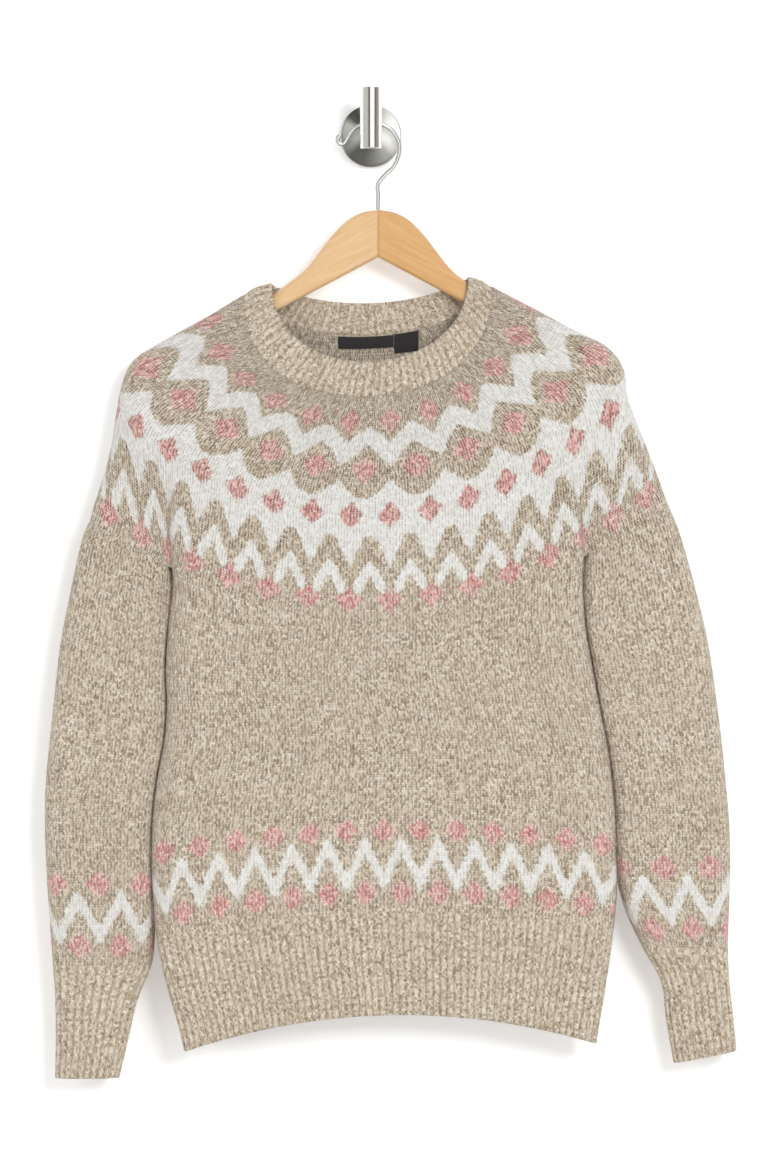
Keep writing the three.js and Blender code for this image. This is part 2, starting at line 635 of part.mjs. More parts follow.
// One wooden arm: its outline is drawn from the middle outwards and given its thickness.
function armGeometry(sign) {
  const topCurve = new THREE.SplineCurve(armTop(sign));
  const top = topCurve.getSpacedPoints(28).filter((point) => point.x <= ARM_TIP - ARM_TIP_LENGTH);
  const end = top.at(-1);
  const tip = new THREE.Vector2(ARM_TIP, end.y - ARM_DEPTH * 0.62);
  const under = [];
  for (let i = 0; i <= 10; i += 1) {
    const distance = mix(end.x - 2, 0, i / 10);
    const straight = ARM_UNDERSIDE_Z - ARM_UNDERSIDE_SLOPE * distance;
    const height = mix(end.y - ARM_DEPTH, straight, clamp((end.x - distance) / ARM_END, 0, 1));
    under.push(new THREE.Vector2(distance, height));
  }
  const outline = shrunk([...top, tip, ...under], ARM_EDGE);
  const shape = new THREE.Shape(outline.map((point) => new THREE.Vector2(sign * point.x, point.y)));
  const geometry = new THREE.ExtrudeGeometry(shape, {
    depth: ARM_THICKNESS - 2 * ARM_EDGE,
    bevelThickness: ARM_EDGE,
    bevelSize: ARM_EDGE,
    bevelSegments: 3,
    steps: 1,
  });
  geometry.rotateX(Math.PI / 2);
  geometry.translate(HANGER_X + sign * (SEAM / 2), HANGER_Y + ARM_THICKNESS / 2 - ARM_EDGE, 0);
  return geometry;
}

// An outline moved inwards, so that its rounded edge comes back to the size that was drawn.
function shrunk(outline, inset) {
  return outline.map((point, i) => {
    const before = outline[(i + outline.length - 1) % outline.length];
    const after = outline[(i + 1) % outline.length];
    const a = point.clone().sub(before).normalize();
    const b = after.clone().sub(point).normalize();
    const normal = new THREE.Vector2(a.y + b.y, -a.x - b.x).normalize();
    const turn = Math.max(0.35, Math.sqrt((1 + a.dot(b)) / 2));
    return point.clone().addScaledVector(normal, inset / turn);
  });
}

// The bent wire
function wireGeometry() {
  const points = WIRE_PATH.map(([x, z]) => new THREE.Vector3(x, HANGER_Y, z));
  const path = new THREE.CatmullRomCurve3(points, false, "centripetal");
  const section = new THREE.Shape();
  section.absarc(0, 0, WIRE_RADIUS, 0, 2 * Math.PI, false);
  const bend = { extrudePath: path, steps: 64, curveSegments: 5, bevelEnabled: false };
  return new THREE.ExtrudeGeometry(section, bend);
}

// The round plate on the wall, with a softened front edge
function plateGeometry() {
  const profile = [
    [0, 0], [PLATE_RADIUS, 0], [PLATE_RADIUS, PLATE_THICKNESS - PLATE_EDGE],
    [PLATE_RADIUS - PLATE_EDGE * 0.3, PLATE_THICKNESS - PLATE_EDGE * 0.3],
    [PLATE_RADIUS - PLATE_EDGE, PLATE_THICKNESS], [0, PLATE_THICKNESS],
  ].map(([radius, height]) => new THREE.Vector2(radius, height));
  return new THREE.LatheGeometry(profile, ROUND_SIDES).rotateX(Math.PI);
}

// A rod with softened ends, standing on its lower end
function rodGeometry(radius, length, edge) {
  const profile = [
    [0, 0], [radius - edge, 0], [radius, edge],
    [radius, length - edge], [radius - edge, length], [0, length],
  ];
  return new THREE.LatheGeometry(profile.map(([r, h]) => new THREE.Vector2(r, h)), ROUND_SIDES);
}

// The peg: a stem out of the plate, made one with the upright rod
function pegGeometry() {
  const stem = rodGeometry(STEM_RADIUS, -PEG_Y - PLATE_THICKNESS - SEAM, 0.5).rotateX(Math.PI);
  stem.translate(0, -PLATE_THICKNESS - SEAM, 0);
  const peg = rodGeometry(PEG_RADIUS, PEG_HIGH - PEG_LOW, PEG_EDGE).rotateX(Math.PI / 2);
  peg.translate(0, PEG_Y, PEG_LOW);
  const joined = solid(stem).add(solid(peg)).getMesh();
  const geometry = new THREE.BufferGeometry();
  geometry.setAttribute("position", new THREE.Float32BufferAttribute(joined.vertProperties, 3));
  geometry.setIndex([...joined.triVerts]);
  return geometry;
}

// A closed mesh as a solid that can be joined
function solid(geometry) {
  const bare = geometry.clone();
  bare.deleteAttribute("normal");
  bare.deleteAttribute("uv");
  const merged = BufferGeometryUtils.mergeVertices(bare, 1e-4);
  return new wasm.Manifold(new wasm.Mesh({
    numProp: 3,
    vertProperties: new Float32Array(merged.attributes.position.array),
    triVerts: new Uint32Array(merged.index.array),
  }));
}

const jumper = new THREE.Group();

function addPiece(name, geometry, material) {
  const mesh = new THREE.Mesh(geometry, MATERIALS[material]);
  mesh.name = name;
  jumper.add(mesh);
}

addPiece("yoke", clothWall(yokeGrid(), true, { last: true }), "wool");
addPiece("neckband", ribbedWall(bandGrid(), true), "woolRib");
const bothEnds = { first: true, last: true };
for (const half of ["front", "back"]) {
  const turned = (grid) => (half === "front" ? grid : grid.map((row) => [...row].reverse()));
  addPiece(`${half}_panel`, clothWall(turned(panelGrid(half)), false, bothEnds), "wool");
  addPiece(`${half}_hem_rib`, ribbedWall(turned(hemGrid(half)), false, bothEnds), "woolRib");
}
for (const side of ["left", "right"]) {
  addPiece(`sleeve_${side}`, clothWall(facing(side, sleeveGrid(side)), true, bothEnds), "wool");
  addPiece(`cuff_${side}`, ribbedWall(facing(side, cuffGrid(side)), true, bothEnds), "woolRib");
}
["neck_label", "size_label"].forEach((name, i) => {
  const [backFace, frontFace] = labelGrids(LABELS[i]);
  addPiece(name, wallGeometry(backFace, frontFace, false), "label");
});
addPiece("hanger_arm_left", armGeometry(-1), "wood");
addPiece("hanger_arm_right", armGeometry(1), "wood");
addPiece("hanger_hook", wireGeometry(), "wire");
addPiece("wall_rose", plateGeometry(), "steel");
addPiece("wall_peg", pegGeometry(), "steel");

export default jumper;
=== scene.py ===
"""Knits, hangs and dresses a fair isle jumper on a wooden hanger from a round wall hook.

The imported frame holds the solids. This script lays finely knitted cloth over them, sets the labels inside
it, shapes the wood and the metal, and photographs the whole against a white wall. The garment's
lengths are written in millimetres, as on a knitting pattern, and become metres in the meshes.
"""

from __future__ import annotations

import logging
import math
from dataclasses import dataclass
from enum import Enum

import bpy
import numpy as np
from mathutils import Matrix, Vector

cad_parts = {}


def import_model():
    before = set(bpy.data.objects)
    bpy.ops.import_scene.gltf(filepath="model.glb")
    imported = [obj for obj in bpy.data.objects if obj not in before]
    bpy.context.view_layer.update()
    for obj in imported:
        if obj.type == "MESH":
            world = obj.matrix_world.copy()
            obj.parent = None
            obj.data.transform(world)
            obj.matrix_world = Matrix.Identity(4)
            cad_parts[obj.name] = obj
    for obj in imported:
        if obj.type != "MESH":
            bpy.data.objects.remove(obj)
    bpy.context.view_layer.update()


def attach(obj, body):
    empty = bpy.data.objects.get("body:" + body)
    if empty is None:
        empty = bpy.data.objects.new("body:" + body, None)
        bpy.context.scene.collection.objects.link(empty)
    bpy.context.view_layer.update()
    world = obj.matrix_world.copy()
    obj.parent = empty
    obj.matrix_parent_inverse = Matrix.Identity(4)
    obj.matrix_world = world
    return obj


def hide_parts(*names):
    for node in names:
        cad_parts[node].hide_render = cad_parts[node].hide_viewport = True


LOG = logging.getLogger("jumper")
MM = 0.001
Colour = tuple[float, float, float]

# Cloth
CLOTH = 3.0  # thickness of the knitted wall
RIB_RELIEF = 1.7  # depth of the furrow between two ribs
FOLD_FLOOR = {"front": -43.0, "back": -22.0}  # deepest point of the fold between body and sleeve
BODY_SIDE_Y = -45.0  # depth of the body's folded sides
BODY_FRONT_TURN = 12.0  # width of the rounding at the front of those sides
SLEEVE_TURN = 14.0  # width of the rounding at a sleeve's sides
SLEEVE_CLEARANCE = 1.2  # between the sleeve and the body's side, which hides it
HELD_ROW = 0.05  # how close the second row lies to a joined end
YARN_BLEED = 0.2  # share of each yarn that runs into the next stitch or round
FINE = 320  # fine steps on half of a loop before it is divided evenly
CENTRE_X = 16.15  # the front's middle, where the pattern is mirrored
ROUND = 2.25  # height of one knitted round

# Stitches and pattern repeats
YOKE_STITCHES = 416
YOKE_ROUNDS = 88
UPPER_REPEATS = 22  # small diamonds and thick zigzag, above the last increase
LOWER_REPEATS = 32
BODY_ROUNDS = 118
BODY_REPEATS = 26
FRONT_REPEATS = 12.7  # how many of them show in front
FIRST_DIAMOND = 0.4978  # share across the front at which an upper diamond stands
SLEEVE_STITCHES = 80
SLEEVE_ROUNDS = 160
SLEEVE_REPEATS = 6
HEM_RIBS = 64  # on each half
CUFF_RIBS = 24
NECK_RIBS = 84
RIB_COLUMNS = 6  # mesh columns for one rib

# Studio
STUDIO_BANDS = (  # what shiny things mirror: share of the way from left to right, and its light
    (0.0, 0.5), (0.2, 0.52), (0.24, 0.34), (0.33, 0.1), (0.4, 0.04), (0.43, 0.9), (0.5, 1.0), (0.77, 1.0),
    (0.82, 0.08), (0.9, 0.2), (1.0, 0.34),
)
MIRRORED_LIGHT = 1.35
KEY_POWER = 128.0
FILL_POWER = 34.0
ROOM_LIGHT = 0.5
WALL_GLOW = 0.24
PAINTED_TURNED_SHEEN = (  # painted reflection of a face brushed in circles: share of the turn from the right, and the tone painted there
    (0.0, 250), (0.08, 248), (0.14, 218), (0.2, 176), (0.3, 122), (0.34, 84), (0.385, 98), (0.43, 204),
    (0.52, 198), (0.57, 168), (0.62, 106), (0.7, 104), (0.77, 132), (0.87, 172), (0.92, 226), (0.97, 250),
)


class Half(Enum):
    """The two halves of a knitted tube that hangs flat."""

    FRONT = "front"
    BACK = "back"


class Side(Enum):
    """Left and right as the jumper is seen from the front."""

    LEFT = "left"
    RIGHT = "right"


class Weave(Enum):
    """How a piece is knitted, which decides its relief."""

    STOCKING = "stocking"
    RIB = "rib"


# Courses from the neckband's upper edge to the underarms, in millimetres: left and right turning
# points, middle heights in front and behind, fullness of both curves, depth of the turn, gain of
# depth at the edge and towards the middle in front and behind, width of the turn, places of the
# folds beside the body, and the folds' strength.
COURSES = np.array([
    [-86, -126.6, 84, -121.3, -195, -145, 2.2, 1.3, -26, 12, 4, 11, 1, 9, -58, 60, 0],
    [-99, -130.5, 95, -124.5, -211, -158, 2.4, 1.5, -26, 12, 7, 11, 1.5, 9, -64, 68, 0],
    [-108.8, -136.8, 102.9, -129.6, -224.4, -171, 2.5, 1.8, -26, 12, 6.5, 11, 1, 9, -72, 78, 0],
    [-142, -156.8, 136.9, -147.5, -247.5, -200, 1.5, 2, -26, 12, 8.5, 11, 1, 9, -100, 106, 0],
    [-170.9, -172.6, 170, -165.2, -267, -221, 1.2, 2, -26, 12, 10.5, 11.5, 1, 9, -122, 128, 0],
    [-201.5, -191.7, 201.5, -181.5, -288, -244, 1, 2, -26, 12.5, 12.5, 12, 1, 10, -142, 148, 0],
    [-212.5, -213.4, 215.9, -201.5, -307, -267, 1, 2, -26.5, 14, 13.5, 12.5, 1, 12, -156, 160, 0.05],
    [-216.8, -235.5, 219, -225.3, -326, -289, 1, 2.1, -27, 15, 14, 13, 1, 13, -166, 168, 0.15],
    [-223.6, -275.4, 234, -264.4, -364.5, -330, 1, 2.2, -28, 16, 14.5, 14, 1, 14, -172, 175, 0.45],
    [-235.5, -314.5, 246.5, -297.5, -397, -365, 1, 2.3, -29, 16.5, 15, 15, 1, 15, -170, 180, 0.85],
    [-239.3, -329, 252.5, -314.5, -409.7, -380, 1, 2.3, -29.5, 16.5, 15.5, 16, 1, 15, -169, 181, 1],
])
NECK_SEAM_COURSE = 2
YOKE_EDGE_COURSE = len(COURSES) - 1

# Where two chosen wales run at four courses: course, then the share of the loop from the front's
# middle to the wales at 5/32 and 7/32 of the stitches, left and right. The cloth is not spread
# evenly, because the folds beside the body take some of it in.
WALES = np.array([
    [2, 0.160, 0.223, 0.160, 0.223],
    [3, 0.166, 0.228, 0.168, 0.236],
    [5, 0.153, 0.219, 0.168, 0.236],
    [7, 0.168, 0.238, 0.173, 0.250],
    [9, 0.157, 0.204, 0.159, 0.2205],
    [10, 0.157, 0.204, 0.159, 0.2205],
])
WALE_KNOTS = (5 / 32, 7 / 32)

# Body by height at the sides: height, left, right, depth of the front's edge and crown, depth of
# the back, width of the rounding behind the folded sides.
BODY = np.array([
    [-360, -168.5, 180.5, 11, 5, -13, 14],
    [-385, -167.5, 180, 11, 6, -13, 16],
    [-420, -172, 182.5, 11, 7, -13, 25],
    [-455, -174.5, 188.5, 11, 7, -13.5, 34],
    [-485, -173.5, 194, 11, 7, -14, 40],
    [-515, -175.5, 200, 11, 6, -14, 42],
    [-545, -181, 204.5, 11, 6, -14, 42],
    [-575, -185, 207.5, 11, 5.5, -14, 42],
    [-610, -186.5, 208.5, 11, 5, -14, 42],
    [-645, -185.5, 209, 10.5, 4.5, -14.5, 40],
    [-683, -182.5, 205.5, 10, 4, -15, 34],
    [-723, -174, 199.8, 9, 3.5, -16, 28],
    [-780, -159, 191.2, 8, 3, -17, 24],
])


@dataclass(frozen=True)
class Foot:
    """A lower edge: heights at both sides and how far its middle rises in front and behind."""

    left: float
    right: float
    rise: float
    back_rise: float

    def height(self, share: np.ndarray, half: Half) -> np.ndarray:
        """Heights at shares across, from 0 at the left to 1."""
        rise = self.rise if half is Half.FRONT else self.back_rise
        return mix(self.left, self.right, share) + rise * (1 - (2 * share - 1) ** 2)


# Sleeves by section, from the yoke to the cuff's lower edge: outer side (x, z), inner side (x, z),
# depth of the middle and half of the flattened tube.
SLEEVES = {
    Side.LEFT: np.array([
        [-239.3, -329, -169.5, -370, -29.5, 16.5],
        [-246.5, -346, -167.5, -390, -29.5, 17],
        [-257.6, -397, -167.5, -430, -30, 17.5],
        [-265.2, -438, -169.5, -462, -30, 17.5],
        [-272, -499, -170, -510, -30, 17],
        [-277, -550, -177, -555, -30, 17],
        [-278, -590, -182, -592, -30, 16.5],
        [-276.2, -635, -182.5, -635, -29.5, 15.5],
        [-273.7, -673, -183.6, -673, -29, 14.5],
        [-271.2, -708, -187, -708, -28.5, 13.5],
        [-269.3, -738, -199, -738, -28, 13],
        [-268.8, -770, -206.5, -770, -28, 12.5],
        [-269.4, -803.2, -214.2, -803.2, -28, 12],
    ]),
    Side.RIGHT: np.array([
        [252.5, -314.5, 181.5, -359, -29.5, 16.5],
        [264, -343, 178, -384, -29.5, 17],
        [278.8, -397, 178, -425, -30, 17.5],
        [288, -438, 183, -455, -30, 17.5],
        [296.6, -499, 193.5, -506, -30, 17],
        [302, -550, 201, -552, -30, 17],
        [305.5, -592, 205, -592, -30, 16.5],
        [306, -632, 209, -632, -29.5, 15.5],
        [305, -662, 216.8, -662, -29, 14.5],
        [304.3, -692.8, 231.2, -692.8, -28.5, 13.5],
        [305.6, -723, 247.3, -723, -28, 13],
        [308.5, -750, 251, -753, -28, 12.5],
        [311.6, -780, 257.6, -790.5, -28, 12],
    ]),
}
CUFF_SECTION = 9


def mix(a: float | np.ndarray, b: float | np.ndarray, share: float | np.ndarray) -> np.ndarray:
    """Value at a share of the way from a to b."""
    return a + (b - a) * share


def roundness(share: np.ndarray | float) -> np.ndarray:
    """Height of a quarter circle at a share of its width, 1 beyond it."""
    return np.sqrt(np.clip(1 - (1 - np.clip(share, 0, 1)) ** 2, 0, 1))


def fade(share: np.ndarray | float) -> np.ndarray:
    """Smooth fall from 1 to 0."""
    share = np.clip(share, 0, 1)
    return (1 - share) ** 2 * (1 + 2 * share)


def between(rows: np.ndarray, place: float) -> np.ndarray:
    """Smooth values of a table's columns between two of its rows.

    Args:
        rows: the table.
        place: number of the row, with its fraction.

    Returns:
        One row of values.
    """
    last = len(rows) - 1
    i = int(min(max(math.floor(place), 0), last - 1))
    t = place - i
    a, b, c, d = (rows[k] for k in (max(i - 1, 0), i, i + 1, min(i + 2, last)))
    return b + 0.5 * t * (c - a + t * (2 * a - 5 * b + 4 * c - d + t * (3 * (b - c) + d - a)))


def run_lengths(points: np.ndarray) -> np.ndarray:
    """Length along a row of points, up to each of them."""
    steps = np.linalg.norm(np.diff(points, axis=0), axis=1)
    return np.concatenate([[0.0], np.cumsum(steps)])


def points_at(points: np.ndarray, lengths: np.ndarray, distances: np.ndarray) -> np.ndarray:
    """Points at distances along a row of points.

    Args:
        points: the row, one point a line.
        lengths: length up to each point.
        distances: where the new points are wanted.

    Returns:
        One point for each distance.
    """
    return np.stack([np.interp(distances, lengths, points[:, k]) for k in range(3)], axis=1)


def evenly(points: np.ndarray, count: int) -> np.ndarray:
    """A row of points divided into a number of equal stretches."""
    lengths = run_lengths(points)
    return points_at(points, lengths, np.linspace(0, lengths[-1], count + 1))


def body_at(height: np.ndarray) -> np.ndarray:
    """The body's sizes at heights of its sides, one line for each height."""
    places = np.interp(-np.asarray(height, float), -BODY[:, 0], np.arange(len(BODY)))
    return np.stack([between(BODY, float(place)) for place in np.atleast_1d(places)])


def body_depth(body: np.ndarray, half: Half, x: np.ndarray, left: np.ndarray,
               right: np.ndarray) -> np.ndarray:
    """Depth of the body between its folded sides.

    Args:
        body: the body's sizes there, as columns or one row.
        half: front or back.
        x: places across.
        left: the left folded side.
        right: the right folded side.

    Returns:
        The depth at each place.
    """
    from_side = np.maximum(0, np.minimum(x - left, right - x))
    across = (2 * x - left - right) / (right - left)
    if half is Half.BACK:
        return BODY_SIDE_Y + (body[..., 5] - BODY_SIDE_Y) * roundness(from_side / body[..., 6])
    full = body[..., 3] + body[..., 4] * (1 - across**2)
    return BODY_SIDE_Y - full * roundness(from_side / BODY_FRONT_TURN)


@dataclass(frozen=True)
class Course:
    """One knitted round of the neckband or yoke, in the order of the table's columns."""

    left_x: float
    left_z: float
    right_x: float
    right_z: float
    front_z: float
    back_z: float
    front_bow: float
    back_bow: float
    side_y: float
    edge: float
    crown: float
    back_edge: float
    back_crown: float
    turn: float
    fold_left: float
    fold_right: float
    fold: float

    @classmethod
    def at(cls, place: float) -> Course:
        """The course at a place between the table's rows."""
        return cls(*between(COURSES, place))

    def height(self, across: np.ndarray, half: Half) -> np.ndarray:
        """Heights of the course at places across, from -1 to 1.

        Args:
            across: the places.
            half: front or back.

        Returns:
            The heights.
        """
        front = half is Half.FRONT
        middle = self.front_z if front else self.back_z
        bow = self.front_bow if front else self.back_bow
        drop = (self.left_z + self.right_z) / 2 - middle
        ridge = mix(self.left_z, self.right_z, (1 + across) / 2)
        return ridge - drop * np.maximum(0, 1 - across**2) ** (1 / bow)

    def plain_depth(self, half: Half, across: np.ndarray, from_edge: np.ndarray) -> np.ndarray:
        """Depth of the course if the yoke ran on smoothly.

        Args:
            half: front or back.
            across: places across, from -1 to 1.
            from_edge: lengths from the nearer turn.

        Returns:
            The depths.
        """
        front = half is Half.FRONT
        edge, crown = (self.edge, self.crown) if front else (self.back_edge, self.back_crown)
        gain = (edge + crown * (1 - across**2)) * roundness(from_edge / self.turn)
        return self.side_y + (-gain if front else gain)

    def folded_depth(self, half: Half, x: np.ndarray, from_edge: np.ndarray) -> np.ndarray:
        """Depth where body and sleeves hang as separate tubes with a fold between them.

        Args:
            half: front or back.
            x: places across.
            from_edge: lengths from the nearer turn.

        Returns:
            The depths.
        """
        front = half is Half.FRONT
        furthest = np.minimum if front else np.maximum
        floor = FOLD_FLOOR[half.value]
        inside = (x > self.fold_left) & (x < self.fold_right)
        body = body_depth(BODY[0], half, x, self.fold_left, self.fold_right)
        to_fold = np.minimum(np.abs(x - self.fold_left), np.abs(x - self.fold_right))
        tube = np.minimum(roundness(from_edge / self.turn), roundness(to_fold / SLEEVE_TURN))
        sleeve = self.side_y + (-self.edge if front else self.back_edge) * tube
        sleeve = np.where(from_edge < self.turn, sleeve, furthest(sleeve, floor))
        return np.where(inside, furthest(body, floor), sleeve)

    def half_line(self, half: Half) -> np.ndarray:
        """Fine points of half the course, from the left turn to the right one.

        Args:
            half: front or back.

        Returns:
            One point a line.
        """
        across = -np.cos(np.pi * np.arange(FINE + 1) / FINE)
        x = (self.left_x + self.right_x) / 2 + (self.right_x - self.left_x) / 2 * across
        z = self.height(across, half)
        flat = run_lengths(np.stack([x, 0 * x, z], axis=1))
        from_edge = np.minimum(flat, flat[-1] - flat)
        plain = self.plain_depth(half, across, from_edge)
        y = mix(plain, self.folded_depth(half, x, from_edge), self.fold)
        return np.stack([x, y, z], axis=1)

    def loop(self, shares: np.ndarray) -> np.ndarray:
        """Points of the whole course at shares of its length, from the front's middle rightwards.

        Args:
            shares: where the points are wanted.

        Returns:
            One point for each share.
        """
        front = self.half_line(Half.FRONT)
        back = self.half_line(Half.BACK)
        points = np.concatenate([front, back[::-1][1:]])
        lengths = run_lengths(points)
        start = np.interp(CENTRE_X, front[:, 0], lengths[: len(front)])
        return points_at(points, lengths, (start + shares * lengths[-1]) % lengths[-1])


def wale_shares(place: float, count: int) -> np.ndarray:
    """Shares of a yoke course at which its stitch columns lie.

    Args:
        place: which course.
        count: number of stitch columns.

    Returns:
        Shares of the length from the front's middle rightwards, rising from 0.
    """
    knots = [np.interp(place, WALES[:, 0], WALES[:, k]) for k in range(1, 5)]
    low, high = WALE_KNOTS
    stitches = [0, low, high, 1 - high, 1 - low, 1]
    shares = [0, knots[2], knots[3], 1 - knots[1], 1 - knots[0], 1]
    return np.interp(np.arange(count) / count, stitches, shares)


@dataclass(frozen=True)
class Crease:
    """A soft trough or ridge that the hanging cloth has, drawn in millimetres."""

    start: tuple[float, float]
    end: tuple[float, float]
    width: float
    depth: float  # inwards where it is negative

    def rise(self, x: np.ndarray, z: np.ndarray) -> np.ndarray:
        """How far the crease lifts the cloth at places on it.

        Args:
            x: places across.
            z: their heights.

        Returns:
            The lift at each place.
        """
        run = np.subtract(self.end, self.start)
        along = ((x - self.start[0]) * run[0] + (z - self.start[1]) * run[1]) / (run @ run)
        near = np.clip(along, 0, 1)
        wander = 0.35 * self.width * np.sin(5.1 * near + self.start[0])
        off_x = x - self.start[0] - near * run[0]
        off_z = z - self.start[1] - near * run[1]
        side = (off_x * run[1] - off_z * run[0]) / math.hypot(*run) + wander
        beyond = (along - near) * math.hypot(*run)
        strength = 0.25 + 0.75 * np.sin(np.pi * np.clip(near, 0.02, 0.98))
        strength = strength * (1 + 0.25 * np.sin(7.3 * near))
        return self.depth * strength * np.exp(-(side**2 + beyond**2) / self.width**2)


CREASES = {
    Half.FRONT: (
        Crease((-205, -352), (-196, -560), 15, -3.2),
        Crease((-214, -420), (-238, -560), 17, 2.0),
        Crease((-258, -470), (-196, -530), 13, -1.6),
        Crease((-268, -560), (-205, -610), 14, -1.8),
        Crease((-262, -640), (-206, -655), 11, 1.5),
        Crease((212, -356), (208, -520), 15, -3.2),
        Crease((236, -410), (262, -560), 17, 2.0),
        Crease((282, -500), (222, -560), 13, -1.8),
        Crease((296, -590), (232, -640), 12, -1.8),
        Crease((290, -655), (246, -668), 10, 1.4),
        Crease((-140, -400), (-118, -640), 26, 1.6),
        Crease((-96, -430), (-88, -640), 22, -1.4),
        Crease((30, -440), (44, -660), 30, 1.5),
        Crease((124, -400), (142, -650), 20, -1.8),
        Crease((160, -380), (176, -600), 18, 1.8),
        Crease((-40, -520), (70, -545), 20, -0.9),
        Crease((-150, -330), (-168, -420), 10, -1.6),
        Crease((150, -330), (172, -425), 10, -1.6),
    ),
    Half.BACK: (
        Crease((-210, -350), (-196, -540), 16, -3.0),
        Crease((-246, -450), (-206, -560), 15, 1.8),
        Crease((-262, -580), (-214, -640), 13, -1.7),
        Crease((216, -350), (212, -530), 16, -3.0),
        Crease((280, -470), (236, -570), 15, 1.9),
        Crease((294, -600), (244, -650), 12, -1.7),
        Crease((-120, -380), (-96, -620), 24, -1.8),
        Crease((-52, -400), (-60, -640), 28, 1.5),
        Crease((40, -390), (22, -600), 22, -1.4),
        Crease((110, -400), (136, -640), 26, 1.7),
        Crease((-30, -215), (40, -228), 14, -1.0),
        Crease((-90, -300), (100, -315), 26, 1.0),
    ),
}


def outwards(grid: np.ndarray, closed: bool) -> np.ndarray:
    """Direction out of the cloth at each point of a grid whose rows run down and columns right.

    Args:
        grid: rows of points.
        closed: whether the last column joins the first.

    Returns:
        Unit vectors in the grid's own layout.
    """
    if closed:
        along = np.roll(grid, -1, axis=1) - np.roll(grid, 1, axis=1)
    else:
        along = np.gradient(grid, axis=1)
    normal = np.cross(np.gradient(grid, axis=0), along)
    return normal / np.maximum(np.linalg.norm(normal, axis=2, keepdims=True), 1e-9)


def crumpled(grid: np.ndarray, normals: np.ndarray) -> np.ndarray:
    """A grid with its creases: each half's own, weaker where the cloth turns away.

    Args:
        grid: rows of points.
        normals: the direction out of the cloth at each.

    Returns:
        The moved points.
    """
    x, z = grid[..., 0], grid[..., 2]
    rise = np.zeros(x.shape)
    for half, creases in CREASES.items():
        facing = np.clip(-normals[..., 1] if half is Half.FRONT else normals[..., 1], 0, 1) ** 1.5
        rise += facing * sum(crease.rise(x, z) for crease in creases)
    slack = 0.45 * np.sin(x / 17 + z / 29) * np.sin(z / 23 - x / 41) + 0.3 * np.sin(x / 9.5 - z / 14 + 1.7)
    rise += slack * np.abs(normals[..., 1]) * np.clip((-200 - z) / 60, 0, 1)
    return grid + normals * rise[..., None]


def blurred(chart: np.ndarray, closed: bool) -> np.ndarray:
    """A chart whose yarns run a little into each other, as hairy wool does.

    Args:
        chart: 0 or 1 for each stitch, by row and column.
        closed: whether the last column joins the first.

    Returns:
        Shares from 0 to 1.
    """
    soft = np.pad(chart.astype(float), 1, mode="edge")
    if closed:
        soft[1:-1, 0], soft[1:-1, -1] = chart[:, -1], chart[:, 0]
    own = 1 - 2 * YARN_BLEED
    soft = YARN_BLEED * (soft[:-2] + soft[2:]) + own * soft[1:-1]
    return YARN_BLEED * (soft[:, :-2] + soft[:, 2:]) + own * soft[:, 1:-1]


